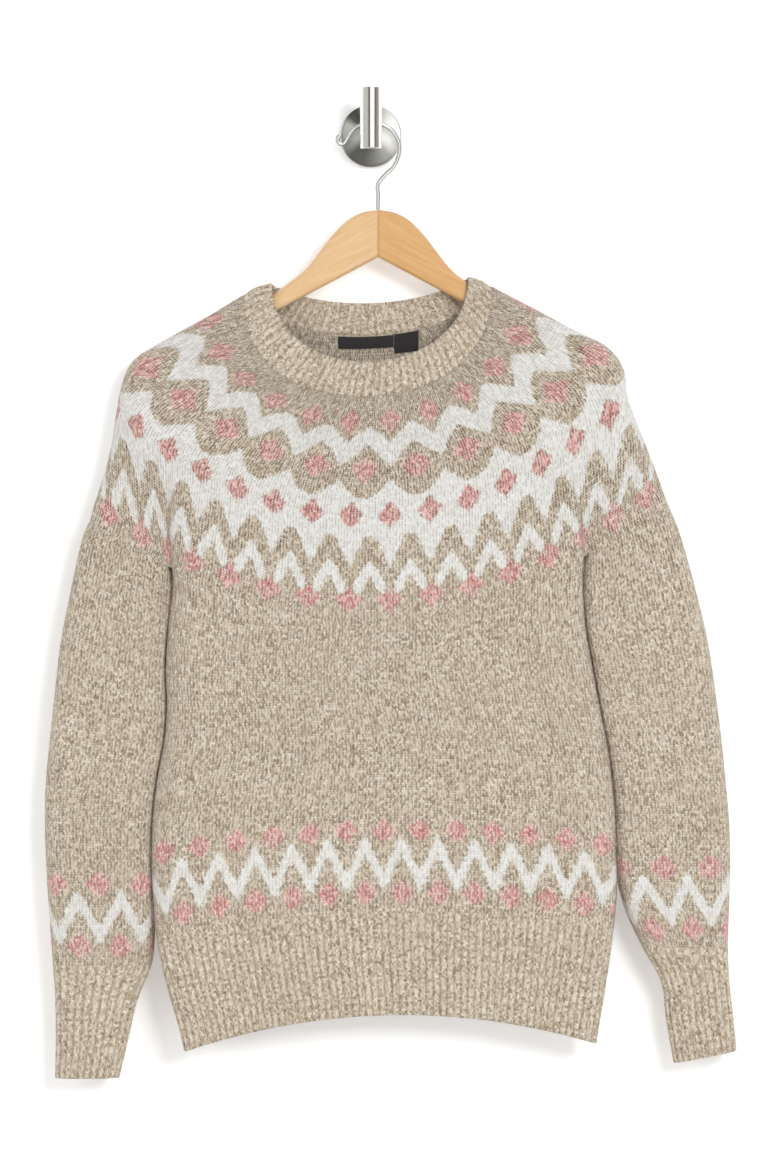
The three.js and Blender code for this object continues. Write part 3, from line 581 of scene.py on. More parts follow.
@dataclass
class Knit:
    """A knitted wall: its outer points, stitches and yarns, and how it is made a mesh."""

    name: str
    grid: np.ndarray
    closed: bool
    weave: Weave
    stitches: np.ndarray  # stitch number of each column, one more than columns where closed
    rounds: np.ndarray  # round number of each row
    white: np.ndarray | None = None
    pink: np.ndarray | None = None
    rim: tuple[float, float] = (0.9, 0.9)  # how far the cloth bulges at its upper and lower end
    joined: tuple[bool, bool] = (False, True)  # whether another piece goes on at each end
    ribs: np.ndarray | None = None  # rib number of each column

    def _walls(self) -> tuple[np.ndarray, np.ndarray]:
        """The outer and inner walls with their creases and ribs.

        Returns:
            Both grids.
        """
        normals = outwards(self.grid, self.closed)
        base = crumpled(self.grid, normals)
        normals = outwards(base, self.closed)
        outer = base
        inner = base - normals * CLOTH
        if self.ribs is not None:
            furrow = RIB_RELIEF * (1 - np.abs(np.cos(np.pi * self.ribs)) ** 0.8)
            wrong = RIB_RELIEF * (1 - np.abs(np.sin(np.pi * self.ribs)) ** 0.8)
            strength = self._rib_strength()[:, None]
            outer = base - normals * (strength * furrow)[..., None]
            inner = base - normals * (CLOTH + 0.4 - strength * wrong)[..., None]
        return outer, inner

    def _rib_strength(self) -> np.ndarray:
        """How deep the ribs are at each row.

        Returns:
            Shares of the full depth, rising out of the smooth cloth that the ribs are joined to.
        """
        row = np.arange(len(self.rounds))
        start = np.clip(row / 2, 0, 1) if self.joined[0] else 1.0
        end = np.clip((len(row) - 1 - row) / 2, 0, 1) if self.joined[1] else 1.0
        return start * end * np.ones(len(row))

    def build(self) -> bpy.types.Object:
        """Makes the mesh: outer wall, rounded end, inner wall and rounded end, all the way round.

        Returns:
            The new object, with its stitch map and yarn attributes.
        """
        outer, inner = self._walls()
        down = np.gradient(outer, axis=0)
        down /= np.maximum(np.linalg.norm(down, axis=2, keepdims=True), 1e-9)
        foot = (outer[-1] + inner[-1]) / 2 + down[-1] * self.rim[1]
        head = (outer[0] + inner[0]) / 2 - down[0] * self.rim[0]
        outer, inner = self._held(outer, down), self._held(inner, down)
        rings = np.concatenate([outer, foot[None], inner[::-1], head[None]])
        rounds = self._held(self.rounds)
        row_of = np.concatenate([rounds, rounds[-1:] + 0.1, rounds[::-1], rounds[:1] - 0.1])
        height, width = rings.shape[:2]
        faces, uv = self._faces(height, width, row_of)
        mesh = bpy.data.meshes.new(self.name)
        points = (rings.reshape(-1, 3) * MM).tolist()
        mesh.from_pydata(points, [], faces.tolist() + self._caps(height, width))
        mesh.polygons.foreach_set("use_smooth", np.ones(len(mesh.polygons), bool))
        layer = mesh.uv_layers.new(name="stitches")
        coords = np.zeros((len(mesh.loops), 2))
        coords[: len(uv)] = uv
        layer.data.foreach_set("uv", coords.ravel())
        plain = np.zeros(self.grid.shape[:2])
        charts = {"outside": plain + 1}
        for label, chart in (("white", self.white), ("pink", self.pink)):
            charts[label] = plain if chart is None else blurred(chart, self.closed)
        for label, values in charts.items():
            values = self._held(values)
            ring_values = np.concatenate([values, values[-1:], np.zeros_like(values), values[:1]])
            mesh.attributes.new(label, "FLOAT", "POINT").data.foreach_set("value", ring_values.ravel())
        mesh.update()
        shown = bpy.data.objects.new(self.name, mesh)
        bpy.context.scene.collection.objects.link(shown)
        return shown

    def _held(self, rows: np.ndarray, down: np.ndarray | None = None) -> np.ndarray:
        """Rows with a second one close to each joined end, which keeps the shading even up to it.

        Args:
            rows: points or values by row.
            down: directions down the cloth, to move the new points back by.

        Returns:
            The longer rows.
        """
        if self.joined[1]:
            extra = rows[-1:] - (0 if down is None else HELD_ROW * down[-1:])
            rows = np.concatenate([rows[:-1], extra, rows[-1:]])
        if self.joined[0]:
            extra = rows[:1] + (0 if down is None else HELD_ROW * down[:1])
            rows = np.concatenate([rows[:1], extra, rows[1:]])
        return rows

    def _faces(self, height: int, width: int, row_of: np.ndarray) -> tuple[np.ndarray, np.ndarray]:
        """Faces of the ring of walls and their stitch coordinates.

        Args:
            height: number of rows in the ring.
            width: number of columns.
            row_of: round number of each row.

        Returns:
            Four vertex numbers a face, and the coordinates of their corners in turn.
        """
        across = np.arange(width if self.closed else width - 1)
        i, j = np.meshgrid(np.arange(height), across, indexing="ij")
        i, j = i.ravel(), j.ravel()
        below, right = (i + 1) % height, (j + 1) % width
        corners = ((i, j), (below, j), (below, right), (i, right))
        faces = np.stack([row * width + column for row, column in corners], axis=1)
        near, far = self.stitches[j], self.stitches[j + 1]
        u = np.stack([near, near, far, far], axis=1)
        v = np.stack([row_of[i], row_of[below], row_of[below], row_of[i]], axis=1)
        return faces, np.stack([u, v], axis=2).reshape(-1, 2)

    def _caps(self, height: int, width: int) -> list[list[int]]:
        """Faces that close the two sides of an open piece.

        Args:
            height: number of rows in the ring.
            width: number of columns.

        Returns:
            Vertex numbers of each face.
        """
        if self.closed:
            return []
        count = height // 2 - 1
        faces = []
        for column, turn in ((0, 1), (width - 1, -1)):
            ring = [row * width + column for row in range(height)]
            for k in range(count - 1):
                faces.append([ring[k], ring[2 * count - k], ring[2 * count - 1 - k], ring[k + 1]][::turn])
            faces.append([ring[count - 1], ring[count + 1], ring[count]][::turn])
            faces.append([ring[2 * count + 1], ring[2 * count], ring[0]][::turn])
        return faces


@dataclass(frozen=True)
class Diamond:
    """A knitted diamond: its middle round, half its height in rounds, half its width in repeats."""

    middle: float
    tall: float
    wide: float

    def covers(self, rounds: np.ndarray, away: np.ndarray) -> np.ndarray:
        """Whether stitches lie in the diamond, at their distances from its wale."""
        return np.abs(rounds - self.middle) / self.tall + away / self.wide <= 1


class YokeChart:
    """The yoke's colour work, charted in rounds below the neck seam."""

    UPPER = Diamond(10, 5.2, 0.31)
    MIDDLE = Diamond(29.6, 5.0, 0.31)
    FIELD = Diamond(48.2, 5.8, 0.335)
    LOWEST = Diamond(82, 5.0, 0.335)
    ZIGZAG_TOP = (12.4, 7.4, 1.5)
    ZIGZAG_FOOT = (19.6, 9.0, 1.3)
    FIELD_TOP = (33.6, 8.1)
    FIELD_FOOT = (69.0, 34.0, 56.5)
    TRELLIS = (68.5, 27.0, 3.4, 0.13)

    def yarns(self, rounds: np.ndarray, shares: np.ndarray) -> tuple[np.ndarray, np.ndarray]:
        """Where white and pink yarn are knitted.

        Args:
            rounds: round numbers below the neck seam.
            shares: shares of the stitches from the front's middle.

        Returns:
            Two arrays of 0 and 1, for white and pink.
        """
        upper = np.abs(shares * UPPER_REPEATS - np.round(shares * UPPER_REPEATS))
        lower = np.abs(shares * LOWER_REPEATS - np.round(shares * LOWER_REPEATS))
        zigzag = np.ones(np.broadcast(rounds, upper).shape, bool)
        for (peak, drop, bend), sign in ((self.ZIGZAG_TOP, 1), (self.ZIGZAG_FOOT, -1)):
            zigzag &= sign * (rounds - peak - drop * (1 - 2 * upper) ** bend) >= 0
        top, wave = self.FIELD_TOP
        tooth, slope, least = self.FIELD_FOOT
        whole = rounds >= top + wave * np.sin(np.pi * upper)
        whole &= rounds <= np.maximum(least, tooth - slope * lower)
        peak, fall, thick, gap = self.TRELLIS
        trellis = np.abs(rounds - peak - fall * (0.5 - lower)) <= thick
        pink = self.UPPER.covers(rounds, upper) | self.MIDDLE.covers(rounds, 0.5 - upper)
        pink |= self.FIELD.covers(rounds, lower) | self.LOWEST.covers(rounds, lower)
        white = (zigzag | whole | (trellis & (lower >= gap))) & ~pink
        return white, pink


class BandChart:
    """The band above the hem and the cuffs, charted in rounds above the rib."""

    UPPER = Diamond(30.9, 4.9, 0.33)
    LOWER = Diamond(7.3, 5.2, 0.33)
    ZIGZAG = (10.8, 25.9, 3.5)

    def yarns(self, rounds: np.ndarray, repeats: np.ndarray) -> tuple[np.ndarray, np.ndarray]:
        """Where white and pink yarn are knitted.

        Args:
            rounds: round numbers above the rib.
            repeats: number of the repeat with its fraction, whole at the upper diamonds.

        Returns:
            Two arrays of 0 and 1, for white and pink.
        """
        away = np.abs(repeats - np.round(repeats))
        low, peak, thick = self.ZIGZAG
        pink = self.UPPER.covers(rounds, away) | self.LOWER.covers(rounds, 0.5 - away)
        white = np.abs(rounds - mix(low, peak, 2 * away)) <= thick
        return white & ~pink, pink


class Yoke:
    """The round yoke that carries the main pattern."""

    def __init__(self) -> None:
        """Finds the courses that lie one round apart at the front's middle."""
        places = np.linspace(NECK_SEAM_COURSE, YOKE_EDGE_COURSE, 81)
        middle = np.stack([Course.at(place).loop(np.array([0.0]))[0] for place in places])
        lengths = run_lengths(middle)
        self.places = np.interp(np.linspace(0, lengths[-1], YOKE_ROUNDS + 1), lengths, places)

    def knit(self) -> Knit:
        """The yoke's wall with its chart.

        Returns:
            The wall.
        """
        courses = [Course.at(p).loop(wale_shares(p, YOKE_STITCHES)) for p in self.places]
        rounds = np.arange(YOKE_ROUNDS + 1.0)
        shares = np.arange(YOKE_STITCHES) / YOKE_STITCHES
        white, pink = YokeChart().yarns(rounds[:, None], shares[None, :])
        stitches = np.arange(YOKE_STITCHES + 1.0)
        return Knit("knitted_yoke", np.stack(courses), True, Weave.STOCKING, stitches, rounds, white, pink,
                    rim=(0.6, 0.1))


def neckband() -> Knit:
    """The ribbed neckband, whose upper edge is folded over.

    Returns:
        The wall.
    """
    count = NECK_RIBS * RIB_COLUMNS
    places = np.linspace(0, NECK_SEAM_COURSE - 0.03, 15)
    grid = []
    for place in places:
        fine = Course.at(float(place)).loop(np.linspace(0, 1, 4 * FINE + 1))
        grid.append(evenly(fine, count)[:-1])
    ribs = np.arange(count) / RIB_COLUMNS
    stitches = 2 * np.arange(count + 1) / RIB_COLUMNS + 0.5
    rounds = np.linspace(0, 16, len(places))
    return Knit("ribbed_neckband", np.stack(grid), True, Weave.RIB, stitches, rounds, rim=(1.5, 0.6),
                joined=(False, False), ribs=ribs)


class Body:
    """The body below the yoke, a tube folded flat at both sides and knitted on into the hem rib."""

    FOOT = Foot(-683.4, -675.8, 18.3, 18.3)
    HEM = Foot(-779.4, -772.6, 28.0, 31.0)
    EASE = 0.2

    def __init__(self) -> None:
        """Reads the yoke's edge, from which the body hangs."""
        self.edge = Course.at(YOKE_EDGE_COURSE)
        self.edges = {half: self.edge.half_line(half) for half in Half}
        shares = wale_shares(YOKE_EDGE_COURSE, YOKE_STITCHES)
        self.wales = self.edge.loop(shares)[:, 0]

    def _columns(self, half: Half) -> tuple[np.ndarray, np.ndarray]:
        """The yoke's wales that run on into one half of the body.

        Args:
            half: front or back.

        Returns:
            Their shares across from the left fold to the right one, and their stitch numbers.
        """
        quarter = YOKE_STITCHES // 4
        numbers = np.arange(-quarter, quarter + 1)
        if half is Half.BACK:
            numbers = numbers[::-1] + 2 * quarter
        x = self.wales[numbers % YOKE_STITCHES]
        inside = (x > self.edge.fold_left + 0.8) & (x < self.edge.fold_right - 0.8)
        folds = np.array([self.edge.fold_left, self.edge.fold_right])
        order = np.argsort(x)
        ends = np.interp(folds, x[order], numbers[order])
        columns = np.concatenate([folds[:1], x[inside], folds[1:]])
        stitches = np.concatenate([ends[:1], numbers[inside], ends[1:]])
        return (columns - folds[0]) / (folds[1] - folds[0]), stitches

    def _edge_at(self, half: Half, x: np.ndarray) -> np.ndarray:
        """Points of the yoke's edge at places across."""
        line = self.edges[half]
        y, z = (np.interp(x, line[:, 0], line[:, k]) for k in (1, 2))
        return np.stack([x, y, z], axis=1)

    def _points(self, half: Half, share: np.ndarray, z: np.ndarray, side_z: np.ndarray) -> np.ndarray:
        """Points of the body at shares across.

        Args:
            half: front or back.
            share: shares from the left side.
            z: their heights.
            side_z: the heights whose sizes they have.

        Returns:
            The points.
        """
        body = body_at(side_z)
        x = mix(body[:, 1], body[:, 2], share)
        return np.stack([x, body_depth(body, half, x, body[:, 1], body[:, 2]), z], axis=1)

    def _row(self, half: Half, share: np.ndarray, down: float, up: np.ndarray) -> np.ndarray:
        """One round of one half of the body.

        Args:
            half: front or back.
            share: shares across.
            down: share of the way from the yoke to the hem rib.
            up: heights above the hem rib, as shares of the whole.

        Returns:
            The points from left to right.
        """
        left, right = self.edge.fold_left, self.edge.fold_right
        edge = self._edge_at(half, mix(left, right, share))
        ends = self._edge_at(Half.FRONT, np.array([left, right]))[:, 2]
        top_side = mix(ends[0], ends[1], share)
        foot_side = mix(self.FOOT.left, self.FOOT.right, share)
        z = mix(self.FOOT.height(share, half), edge[:, 2], up)
        row = self._points(half, share, z, mix(foot_side, top_side, up))
        start = self._points(half, share, edge[:, 2], top_side)
        shift = edge - start
        if half is Half.BACK:
            from_side = np.minimum(share, 1 - share) * (right - left)
            shift[:, 1] *= 1 - fade(from_side / 6)
        return row + shift * fade(down / self.EASE)

    def _joined(self, rows: list[tuple[np.ndarray, np.ndarray]]) -> np.ndarray:
        """Rounds of the whole tube from its front and back rows."""
        return np.stack([np.concatenate([front, back[::-1][1:-1]]) for front, back in rows])

    def panels(self) -> tuple[Knit, Knit]:
        """The front and back between yoke and hem rib.

        Returns:
            Both walls.
        """
        columns = {half: self._columns(half) for half in Half}
        rounds = np.arange(BODY_ROUNDS + 1.0)
        rows = []
        for above in rounds[::-1]:
            halves = []
            for half in Half:
                share = columns[half][0]
                edge = self._edge_at(half, mix(self.edge.fold_left, self.edge.fold_right, share))[:, 2]
                tall = edge - self.FOOT.height(share, half)
                extra = (tall - BODY_ROUNDS * ROUND) * (above / BODY_ROUNDS) ** 3
                halves.append(self._row(half, share, 1 - above / BODY_ROUNDS, (above * ROUND + extra) / tall))
            rows.append(tuple(halves))
        grid = self._joined(rows)
        knits = []
        for half in Half:
            share, stitches = columns[half]
            if half is Half.FRONT:
                piece = grid[:, : len(share)]
                repeats = FRONT_REPEATS * (share - FIRST_DIAMOND)
            else:
                piece = np.concatenate([grid[:, len(columns[Half.FRONT][0]) - 1 :], grid[:, :1]], axis=1)
                stitches = stitches[::-1]
                repeats = FRONT_REPEATS * (1 - FIRST_DIAMOND)
                repeats = repeats + (BODY_REPEATS - FRONT_REPEATS) * (1 - share[::-1])
            white, pink = BandChart().yarns(BODY_ROUNDS - rounds[:, None], repeats[None, :])
            knits.append(Knit(f"knitted_{half.value}", piece, False, Weave.STOCKING, stitches,
                              YOKE_ROUNDS + rounds, white, pink, rim=(0.1, 0.1), joined=(True, True)))
        return knits[0], knits[1]

    def hem_ribs(self) -> tuple[Knit, Knit]:
        """The front and back of the hem rib.

        Returns:
            Both walls.
        """
        count = HEM_RIBS * RIB_COLUMNS
        fine = (1 - np.cos(np.pi * np.arange(FINE + 1) / FINE)) / 2
        rows = []
        for down in np.linspace(0, 1, 28):
            halves = []
            for half in Half:
                z = mix(self.FOOT.height(fine, half), self.HEM.height(fine, half), down)
                left_z = mix(self.FOOT.left, self.HEM.left, down)
                right_z = mix(self.FOOT.right, self.HEM.right, down)
                side_z = mix(left_z, right_z, fine)
                halves.append(evenly(self._points(half, fine, z, side_z), count))
            rows.append(tuple(halves))
        grid = self._joined(rows)
        knits = []
        for name, piece in (("front", grid[:, : count + 1]),
                            ("back", np.concatenate([grid[:, count:], grid[:, :1]], axis=1))):
            ribs = np.arange(count + 1) / RIB_COLUMNS
            knits.append(Knit(f"ribbed_hem_{name}", piece, False, Weave.RIB, 2 * ribs + 0.5,
                              np.linspace(0, 45, 28), rim=(0.1, 1.4), joined=(True, False), ribs=ribs))
        return knits[0], knits[1]


class Sleeve:
    """One sleeve with its cuff, a flattened tube that hangs beside the body."""

    TOP_EASE = 2.2
    FREE_SHARE = 0.9
    FIRST_DIAMOND = {Side.LEFT: -265.2, Side.RIGHT: 217.6}

    def __init__(self, side: Side, body: Body) -> None:
        """Takes the side and the body whose yoke edge it hangs from."""
        self.side = side
        self.table = SLEEVES[side]
        self.body = body

    def _body_side(self, y: np.ndarray, z: np.ndarray) -> np.ndarray:
        """Where the body's folded side stands at depths and heights.

        Args:
            y: the depths.
            z: the heights.

        Returns:
            The places across.
        """
        size = body_at(z)
        before = y < BODY_SIDE_Y
        ahead = (BODY_SIDE_Y - y) / (size[:, 3] + 1)
        share = np.where(before, ahead, (y - BODY_SIDE_Y) / (size[:, 5] - BODY_SIDE_Y))
        turn = np.where(before, BODY_FRONT_TURN, size[:, 6])
        inset = turn * (1 - np.sqrt(np.clip(1 - np.minimum(share, 1) ** 2, 0, 1)))
        return size[:, 1] + inset if self.side is Side.LEFT else size[:, 2] - inset

    def _half(self, section: np.ndarray, half: Half, share: np.ndarray) -> np.ndarray:
        """Points of one half of a section, at shares from its outer side to its inner one.

        Args:
            section: one row of the sleeve's table.
            half: front or back.
            share: the shares.

        Returns:
            The points.
        """
        outer_x, outer_z, inner_x, inner_z, middle_y, deep = section
        width = abs(inner_x - outer_x)
        from_side = np.minimum(share, 1 - share) * width
        depth = deep * roundness(from_side / min(SLEEVE_TURN, width / 2))
        y = middle_y + (-depth if half is Half.FRONT else depth)
        z = mix(outer_z, inner_z, share)
        free = mix(outer_x, inner_x, share)
        limit = self._body_side(y, z)
        if self.side is Side.LEFT:
            x = np.minimum(free, limit - SLEEVE_CLEARANCE)
        else:
            x = np.maximum(free, limit + SLEEVE_CLEARANCE)
        return np.stack([x, y, z], axis=1)

    def _loop(self, place: float, count: int) -> np.ndarray:
        """One round of the sleeve, from the outer side over the front to the inner side and back.

        Args:
            place: which section.
            count: number of points.

        Returns:
            The points, in the order that faces outwards.
        """
        section = between(self.table, place)
        share = (1 - np.cos(np.pi * np.arange(121) / 120)) / 2
        edge = self.body.edge
        fold = edge.fold_left if self.side is Side.LEFT else edge.fold_right
        easing = float(fade(place / self.TOP_EASE))
        halves = []
        for half in Half:
            points = self._half(section, half, share)
            if easing > 0:
                start = self._half(self.table[0], half, share)
                shift = self.body._edge_at(half, mix(self.table[0][0], fold, share)) - start
                shift[:, :2] *= fade((share - self.FREE_SHARE) / (1 - self.FREE_SHARE))[:, None]
                points = points + shift * easing
            halves.append(points)
        loop = np.concatenate([halves[0], halves[1][::-1][1:]])
        loop = evenly(loop, count)[:-1]
        return loop if self.side is Side.LEFT else np.concatenate([loop[:1], loop[1:][::-1]])

    def _repeats(self, row: np.ndarray) -> np.ndarray:
        """Numbers of the repeats round the sleeve, whole at the upper diamonds.

        Args:
            row: one round of the sleeve.

        Returns:
            The number at each stitch, with its fraction.
        """
        front = np.flatnonzero(row[:, 1] <= np.median(row[:, 1]))
        nearest = front[np.argmin(np.abs(row[front, 0] - self.FIRST_DIAMOND[self.side]))]
        return SLEEVE_REPEATS * (np.arange(len(row)) - nearest) / len(row)

    def knit(self) -> Knit:
        """The sleeve's wall from the yoke to the cuff.

        Returns:
            The wall.
        """
        sections = np.linspace(0, CUFF_SECTION, 91)
        line = np.stack([between(self.table, p) for p in sections])
        x, z = (line[:, 0] + line[:, 2]) / 2, (line[:, 1] + line[:, 3]) / 2
        middle = np.stack([x, 0 * sections, z], axis=1)
        lengths = run_lengths(middle)
        places = np.interp(np.linspace(0, lengths[-1], SLEEVE_ROUNDS + 1), lengths, sections)
        grid = np.stack([self._loop(float(p), SLEEVE_STITCHES) for p in places])
        rounds = np.arange(SLEEVE_ROUNDS + 1.0)
        repeats = self._repeats(grid[-20])
        white, pink = BandChart().yarns(SLEEVE_ROUNDS - rounds[:, None], repeats[None, :])
        return Knit(f"knitted_{self.side.value}_sleeve", grid, True, Weave.STOCKING,
                    np.arange(SLEEVE_STITCHES + 1.0), YOKE_ROUNDS + rounds, white, pink, rim=(0.1, 0.1),
                    joined=(True, True))

    def cuff(self) -> Knit:
        """The ribbed cuff.

        Returns:
            The wall.
        """
        count = CUFF_RIBS * RIB_COLUMNS
        places = np.linspace(CUFF_SECTION, len(self.table) - 1, 28)
        grid = np.stack([self._loop(float(p), count) for p in places])
        ribs = np.arange(count) / RIB_COLUMNS
        stitches = 2 * np.arange(count + 1) / RIB_COLUMNS + 0.5
        return Knit(f"ribbed_{self.side.value}_cuff", grid, True, Weave.RIB, stitches,
                    np.linspace(0, 42, 28), rim=(0.1, 1.2), joined=(True, False), ribs=ribs)


def shown_mesh(name: str, points: np.ndarray, faces: list[list[int]],
               smooth: bool = True) -> bpy.types.Object:
    """Makes an object of points in millimetres.

    Args:
        name: the object's name.
        points: one point a line.
        faces: vertex numbers of each face.
        smooth: whether the faces are shaded smooth.

    Returns:
        The new object.
    """
    mesh = bpy.data.meshes.new(name)
    mesh.from_pydata((np.asarray(points) * MM).tolist(), [], faces)
    mesh.polygons.foreach_set("use_smooth", np.full(len(mesh.polygons), smooth))
    mesh.update()
    shown = bpy.data.objects.new(name, mesh)
    bpy.context.scene.collection.objects.link(shown)
    return shown


def lofted(rings: np.ndarray) -> tuple[np.ndarray, list[list[int]]]:
    """Joins closed rings of points into a solid with a flat fan at each end.

    Args:
        rings: the rings in turn, each with the same number of points.

    Returns:
        The points and the faces.
    """
    count, around = rings.shape[:2]
    faces = []
    for i in range(count - 1):
        for j in range(around):
            k = (j + 1) % around
            faces.append([i * around + j, i * around + k, (i + 1) * around + k, (i + 1) * around + j])
    points = np.concatenate([rings.reshape(-1, 3), rings[:1].mean(axis=1), rings[-1:].mean(axis=1)])
    first, last = count * around, count * around + 1
    for j in range(around):
        k = (j + 1) % around
        faces.append([first, k, j])
        faces.append([last, (count - 1) * around + j, (count - 1) * around + k])
    return points, faces


@dataclass(frozen=True)
class Hanger:
    """The wooden hanger: two arms that meet under the wire."""

    middle_x: float = 6.0
    middle_y: float = -26.0
    thickness: float = 12.0
    edge: float = 4.5
    depth: float = 16.5
    tip: float = 198.0
    tip_length: float = 6.0
    end: float = 40.0
    underside_z: float = -105.0
    slope: float = 0.53
    rest_gap: float = 1.85
    shoulder: tuple[tuple[float, float], ...] = (
        (0, -64.2), (15, -67), (28, -74.5), (40, -87), (51, -101.3), (62, -115), (75, -125.5), (92, -137),
    )

    def _top(self, side: Side) -> np.ndarray:
        """Fine points of the upper edge: distance from the middle, and height.

        Args:
            side: left or right.

        Returns:
            One point a line.
        """
        down = CLOTH * math.hypot(1, self.slope) + self.rest_gap
        column = 0 if side is Side.LEFT else 2
        under = [(abs(row[column] - self.middle_x), row[column + 1] - down) for row in COURSES[3:6]]
        points = np.array([*self.shoulder, *under])
        return np.stack([between(points, p) for p in np.linspace(0, len(points) - 1, 301)])

    def arm(self, side: Side) -> bpy.types.Object:
        """One arm, rounded all along and at its tip.

        Args:
            side: left or right.

        Returns:
            The arm.
        """
        line = self._top(side)
        last = self.tip - self.tip_length
        last_z = float(np.interp(last, line[:, 0], line[:, 1]))
        inner = np.linspace(0.03, last, 90)
        closing = last + self.tip_length * np.sin(np.linspace(0, 1, 9)[1:] * math.pi / 2) * 0.98
        angles = np.linspace(0, 2 * math.pi, 33)[:-1]
        rings = []
        for distance in np.concatenate([inner, closing]):
            top = float(np.interp(min(distance, last), line[:, 0], line[:, 1]))
            straight = self.underside_z - self.slope * distance
            low = float(mix(last_z - self.depth, straight, np.clip((last - distance) / self.end, 0, 1)))
            shrink = math.sqrt(max(0.0, 1 - (max(0.0, distance - last) / self.tip_length) ** 2))
            middle = (top + low) / 2 - 0.12 * self.depth * (1 - shrink)
            half_z = max(0.4, (top - low) / 2 * shrink)
            half_y = max(0.4, self.thickness / 2 * (0.35 + 0.65 * shrink))
            edge = min(self.edge, half_y * 0.98, half_z * 0.98)
            across = np.clip(np.cos(angles) * 4, -1, 1) * (half_y - edge) + edge * np.cos(angles)
            up = np.clip(np.sin(angles) * 4, -1, 1) * (half_z - edge) + edge * np.sin(angles)
            sign = -1 if side is Side.LEFT else 1
            x = np.full(len(angles), self.middle_x + sign * distance)
            rings.append(np.stack([x, self.middle_y + across, middle + up], axis=1))
        rings = np.stack(rings)
        points, faces = lofted(rings if side is Side.RIGHT else rings[:, ::-1])
        return shown_mesh(f"{side.value}_hanger_arm", points, faces)


@dataclass(frozen=True)
class Wire:
    """The hanger's bent wire hook."""

    radius: float = 1.7
    y: float = -26.0
    path: tuple[tuple[float, float], ...] = (
        (5.6, -63.9), (6, -52), (6, -42.3), (12.8, -33.8), (19.8, -26.8), (23.7, -17), (24, -8.5), (20.4, 0),
        (14.8, 5.8), (8, 8.7), (-0.4, 9.5), (-9.6, 8), (-16.4, 3.2), (-20.8, -4), (-24, -8), (-27.6, -7.1),
        (-28.4, -3), (-25.4, -0.6),
    )

    def build(self) -> bpy.types.Object:
        """The wire with a rounded tip.

        Returns:
            The wire, which knows how far each point faces the front, for its painted reflection.
        """
        path = np.array(self.path)
        line = np.stack([between(path, p) for p in np.linspace(0, len(path) - 1, 200)])
        run = np.gradient(line, axis=0)
        run /= np.linalg.norm(run, axis=1, keepdims=True)
        angles = np.linspace(0, 2 * math.pi, 25)[:-1]
        to_end = run_lengths(np.c_[line, np.zeros(len(line))])
        to_end = to_end[-1] - to_end
        radius = self.radius * np.sqrt(np.clip(1 - np.clip(1 - to_end / self.radius, 0, 1) ** 2, 0.02, 1))
        rings = []
        for (x, z), (run_x, run_z), r in zip(line, run, radius):
            across = r * np.cos(angles)
            depth = self.y + r * np.sin(angles)
            rings.append(np.stack([x + across * run_z, depth, z - across * run_x], axis=1))
        points, faces = lofted(np.stack(rings)[:, ::-1])
        shown = shown_mesh("wire_hook", points, faces)
        # how far each point faces the front, which paints the wire's reflection light in front and dark at
        # its sides
        front = np.concatenate([np.tile(np.clip(-np.sin(angles[::-1]), 0, 1), len(line)), [0.0, 0.0]])
        shown.data.attributes.new("front", "FLOAT", "POINT").data.foreach_set("value", front)
        return shown


def turned(profile: list[tuple[float, float]], axis: str, origin: tuple[float, float, float],
           around: int = 96) -> tuple[np.ndarray, list[list[int]]]:
    """A turned solid: its profile runs outwards and along its axis.

    Args:
        profile: radius and distance along the axis, from one end to the other.
        axis: "y" for an axis that comes off the wall, "z" for an upright one.
        origin: where the axis starts.
        around: number of points round it.

    Returns:
        The points and the faces.
    """
    angles = np.linspace(0, 2 * math.pi, around + 1)[:-1]
    rings = []
    for radius, along in profile:
        a, b = radius * np.cos(angles), radius * np.sin(angles)
        fixed = np.full(around, along)
        ring = np.stack([a, -fixed, b], axis=1) if axis == "y" else np.stack([a, b, fixed], axis=1)
        rings.append(ring + np.array(origin))
    rings = np.stack(rings)
    return lofted(rings)


def softened(radius: float, low: float, high: float, edge: float,
             steps: int = 5) -> list[tuple[float, float]]:
    """Profile of a round bar with rounded edges at both ends.

    Args:
        radius: the bar's radius.
        low: its lower end.
        high: its upper end.
        edge: radius of the rounding.
        steps: points in each rounding.

    Returns:
        Radii and distances along the axis.
    """
    bend = np.linspace(0, math.pi / 2, steps + 1)
    first = [(radius - edge + edge * math.sin(a), low + edge - edge * math.cos(a)) for a in bend]
    last = [(radius - edge + edge * math.cos(a), high - edge + edge * math.sin(a)) for a in bend]
    return [*first, *last]


@dataclass(frozen=True)
class WallHook:
    """The round plate on the wall and its peg."""

    plate: float = 26.6
    plate_thickness: float = 8.0
    plate_edge: float = 2.2
    stem: float = 7.6
    peg: float = 9.3
    peg_y: float = -47.0
    peg_low: float = -13.6
    peg_high: float = 39.0

    def build_plate(self) -> bpy.types.Object:
        """The plate with its softened front edge.

        Returns:
            The plate.
        """
        profile = [(self.plate, 0.0), *softened(self.plate, 0, self.plate_thickness, self.plate_edge)[6:]]
        points, faces = turned(profile, "y", (0, 0, 0), 128)
        return shown_mesh("round_wall_plate", points, faces)

    def build_peg(self) -> bpy.types.Object:
        """The stem out of the plate and the upright peg in front of it.

        Returns:
            Both in one object.
        """
        stem = turned(softened(self.stem, self.plate_thickness + 0.3, -self.peg_y, 0.4), "y", (0, 0, 0), 64)
        peg = turned(softened(self.peg, self.peg_low, self.peg_high, 1.2), "z", (0, self.peg_y, 0), 96)
        shift = len(stem[0])
        faces = [*stem[1], *([number + shift for number in face] for face in peg[1])]
        return shown_mesh("upright_peg", np.concatenate([stem[0], peg[0]]), faces)


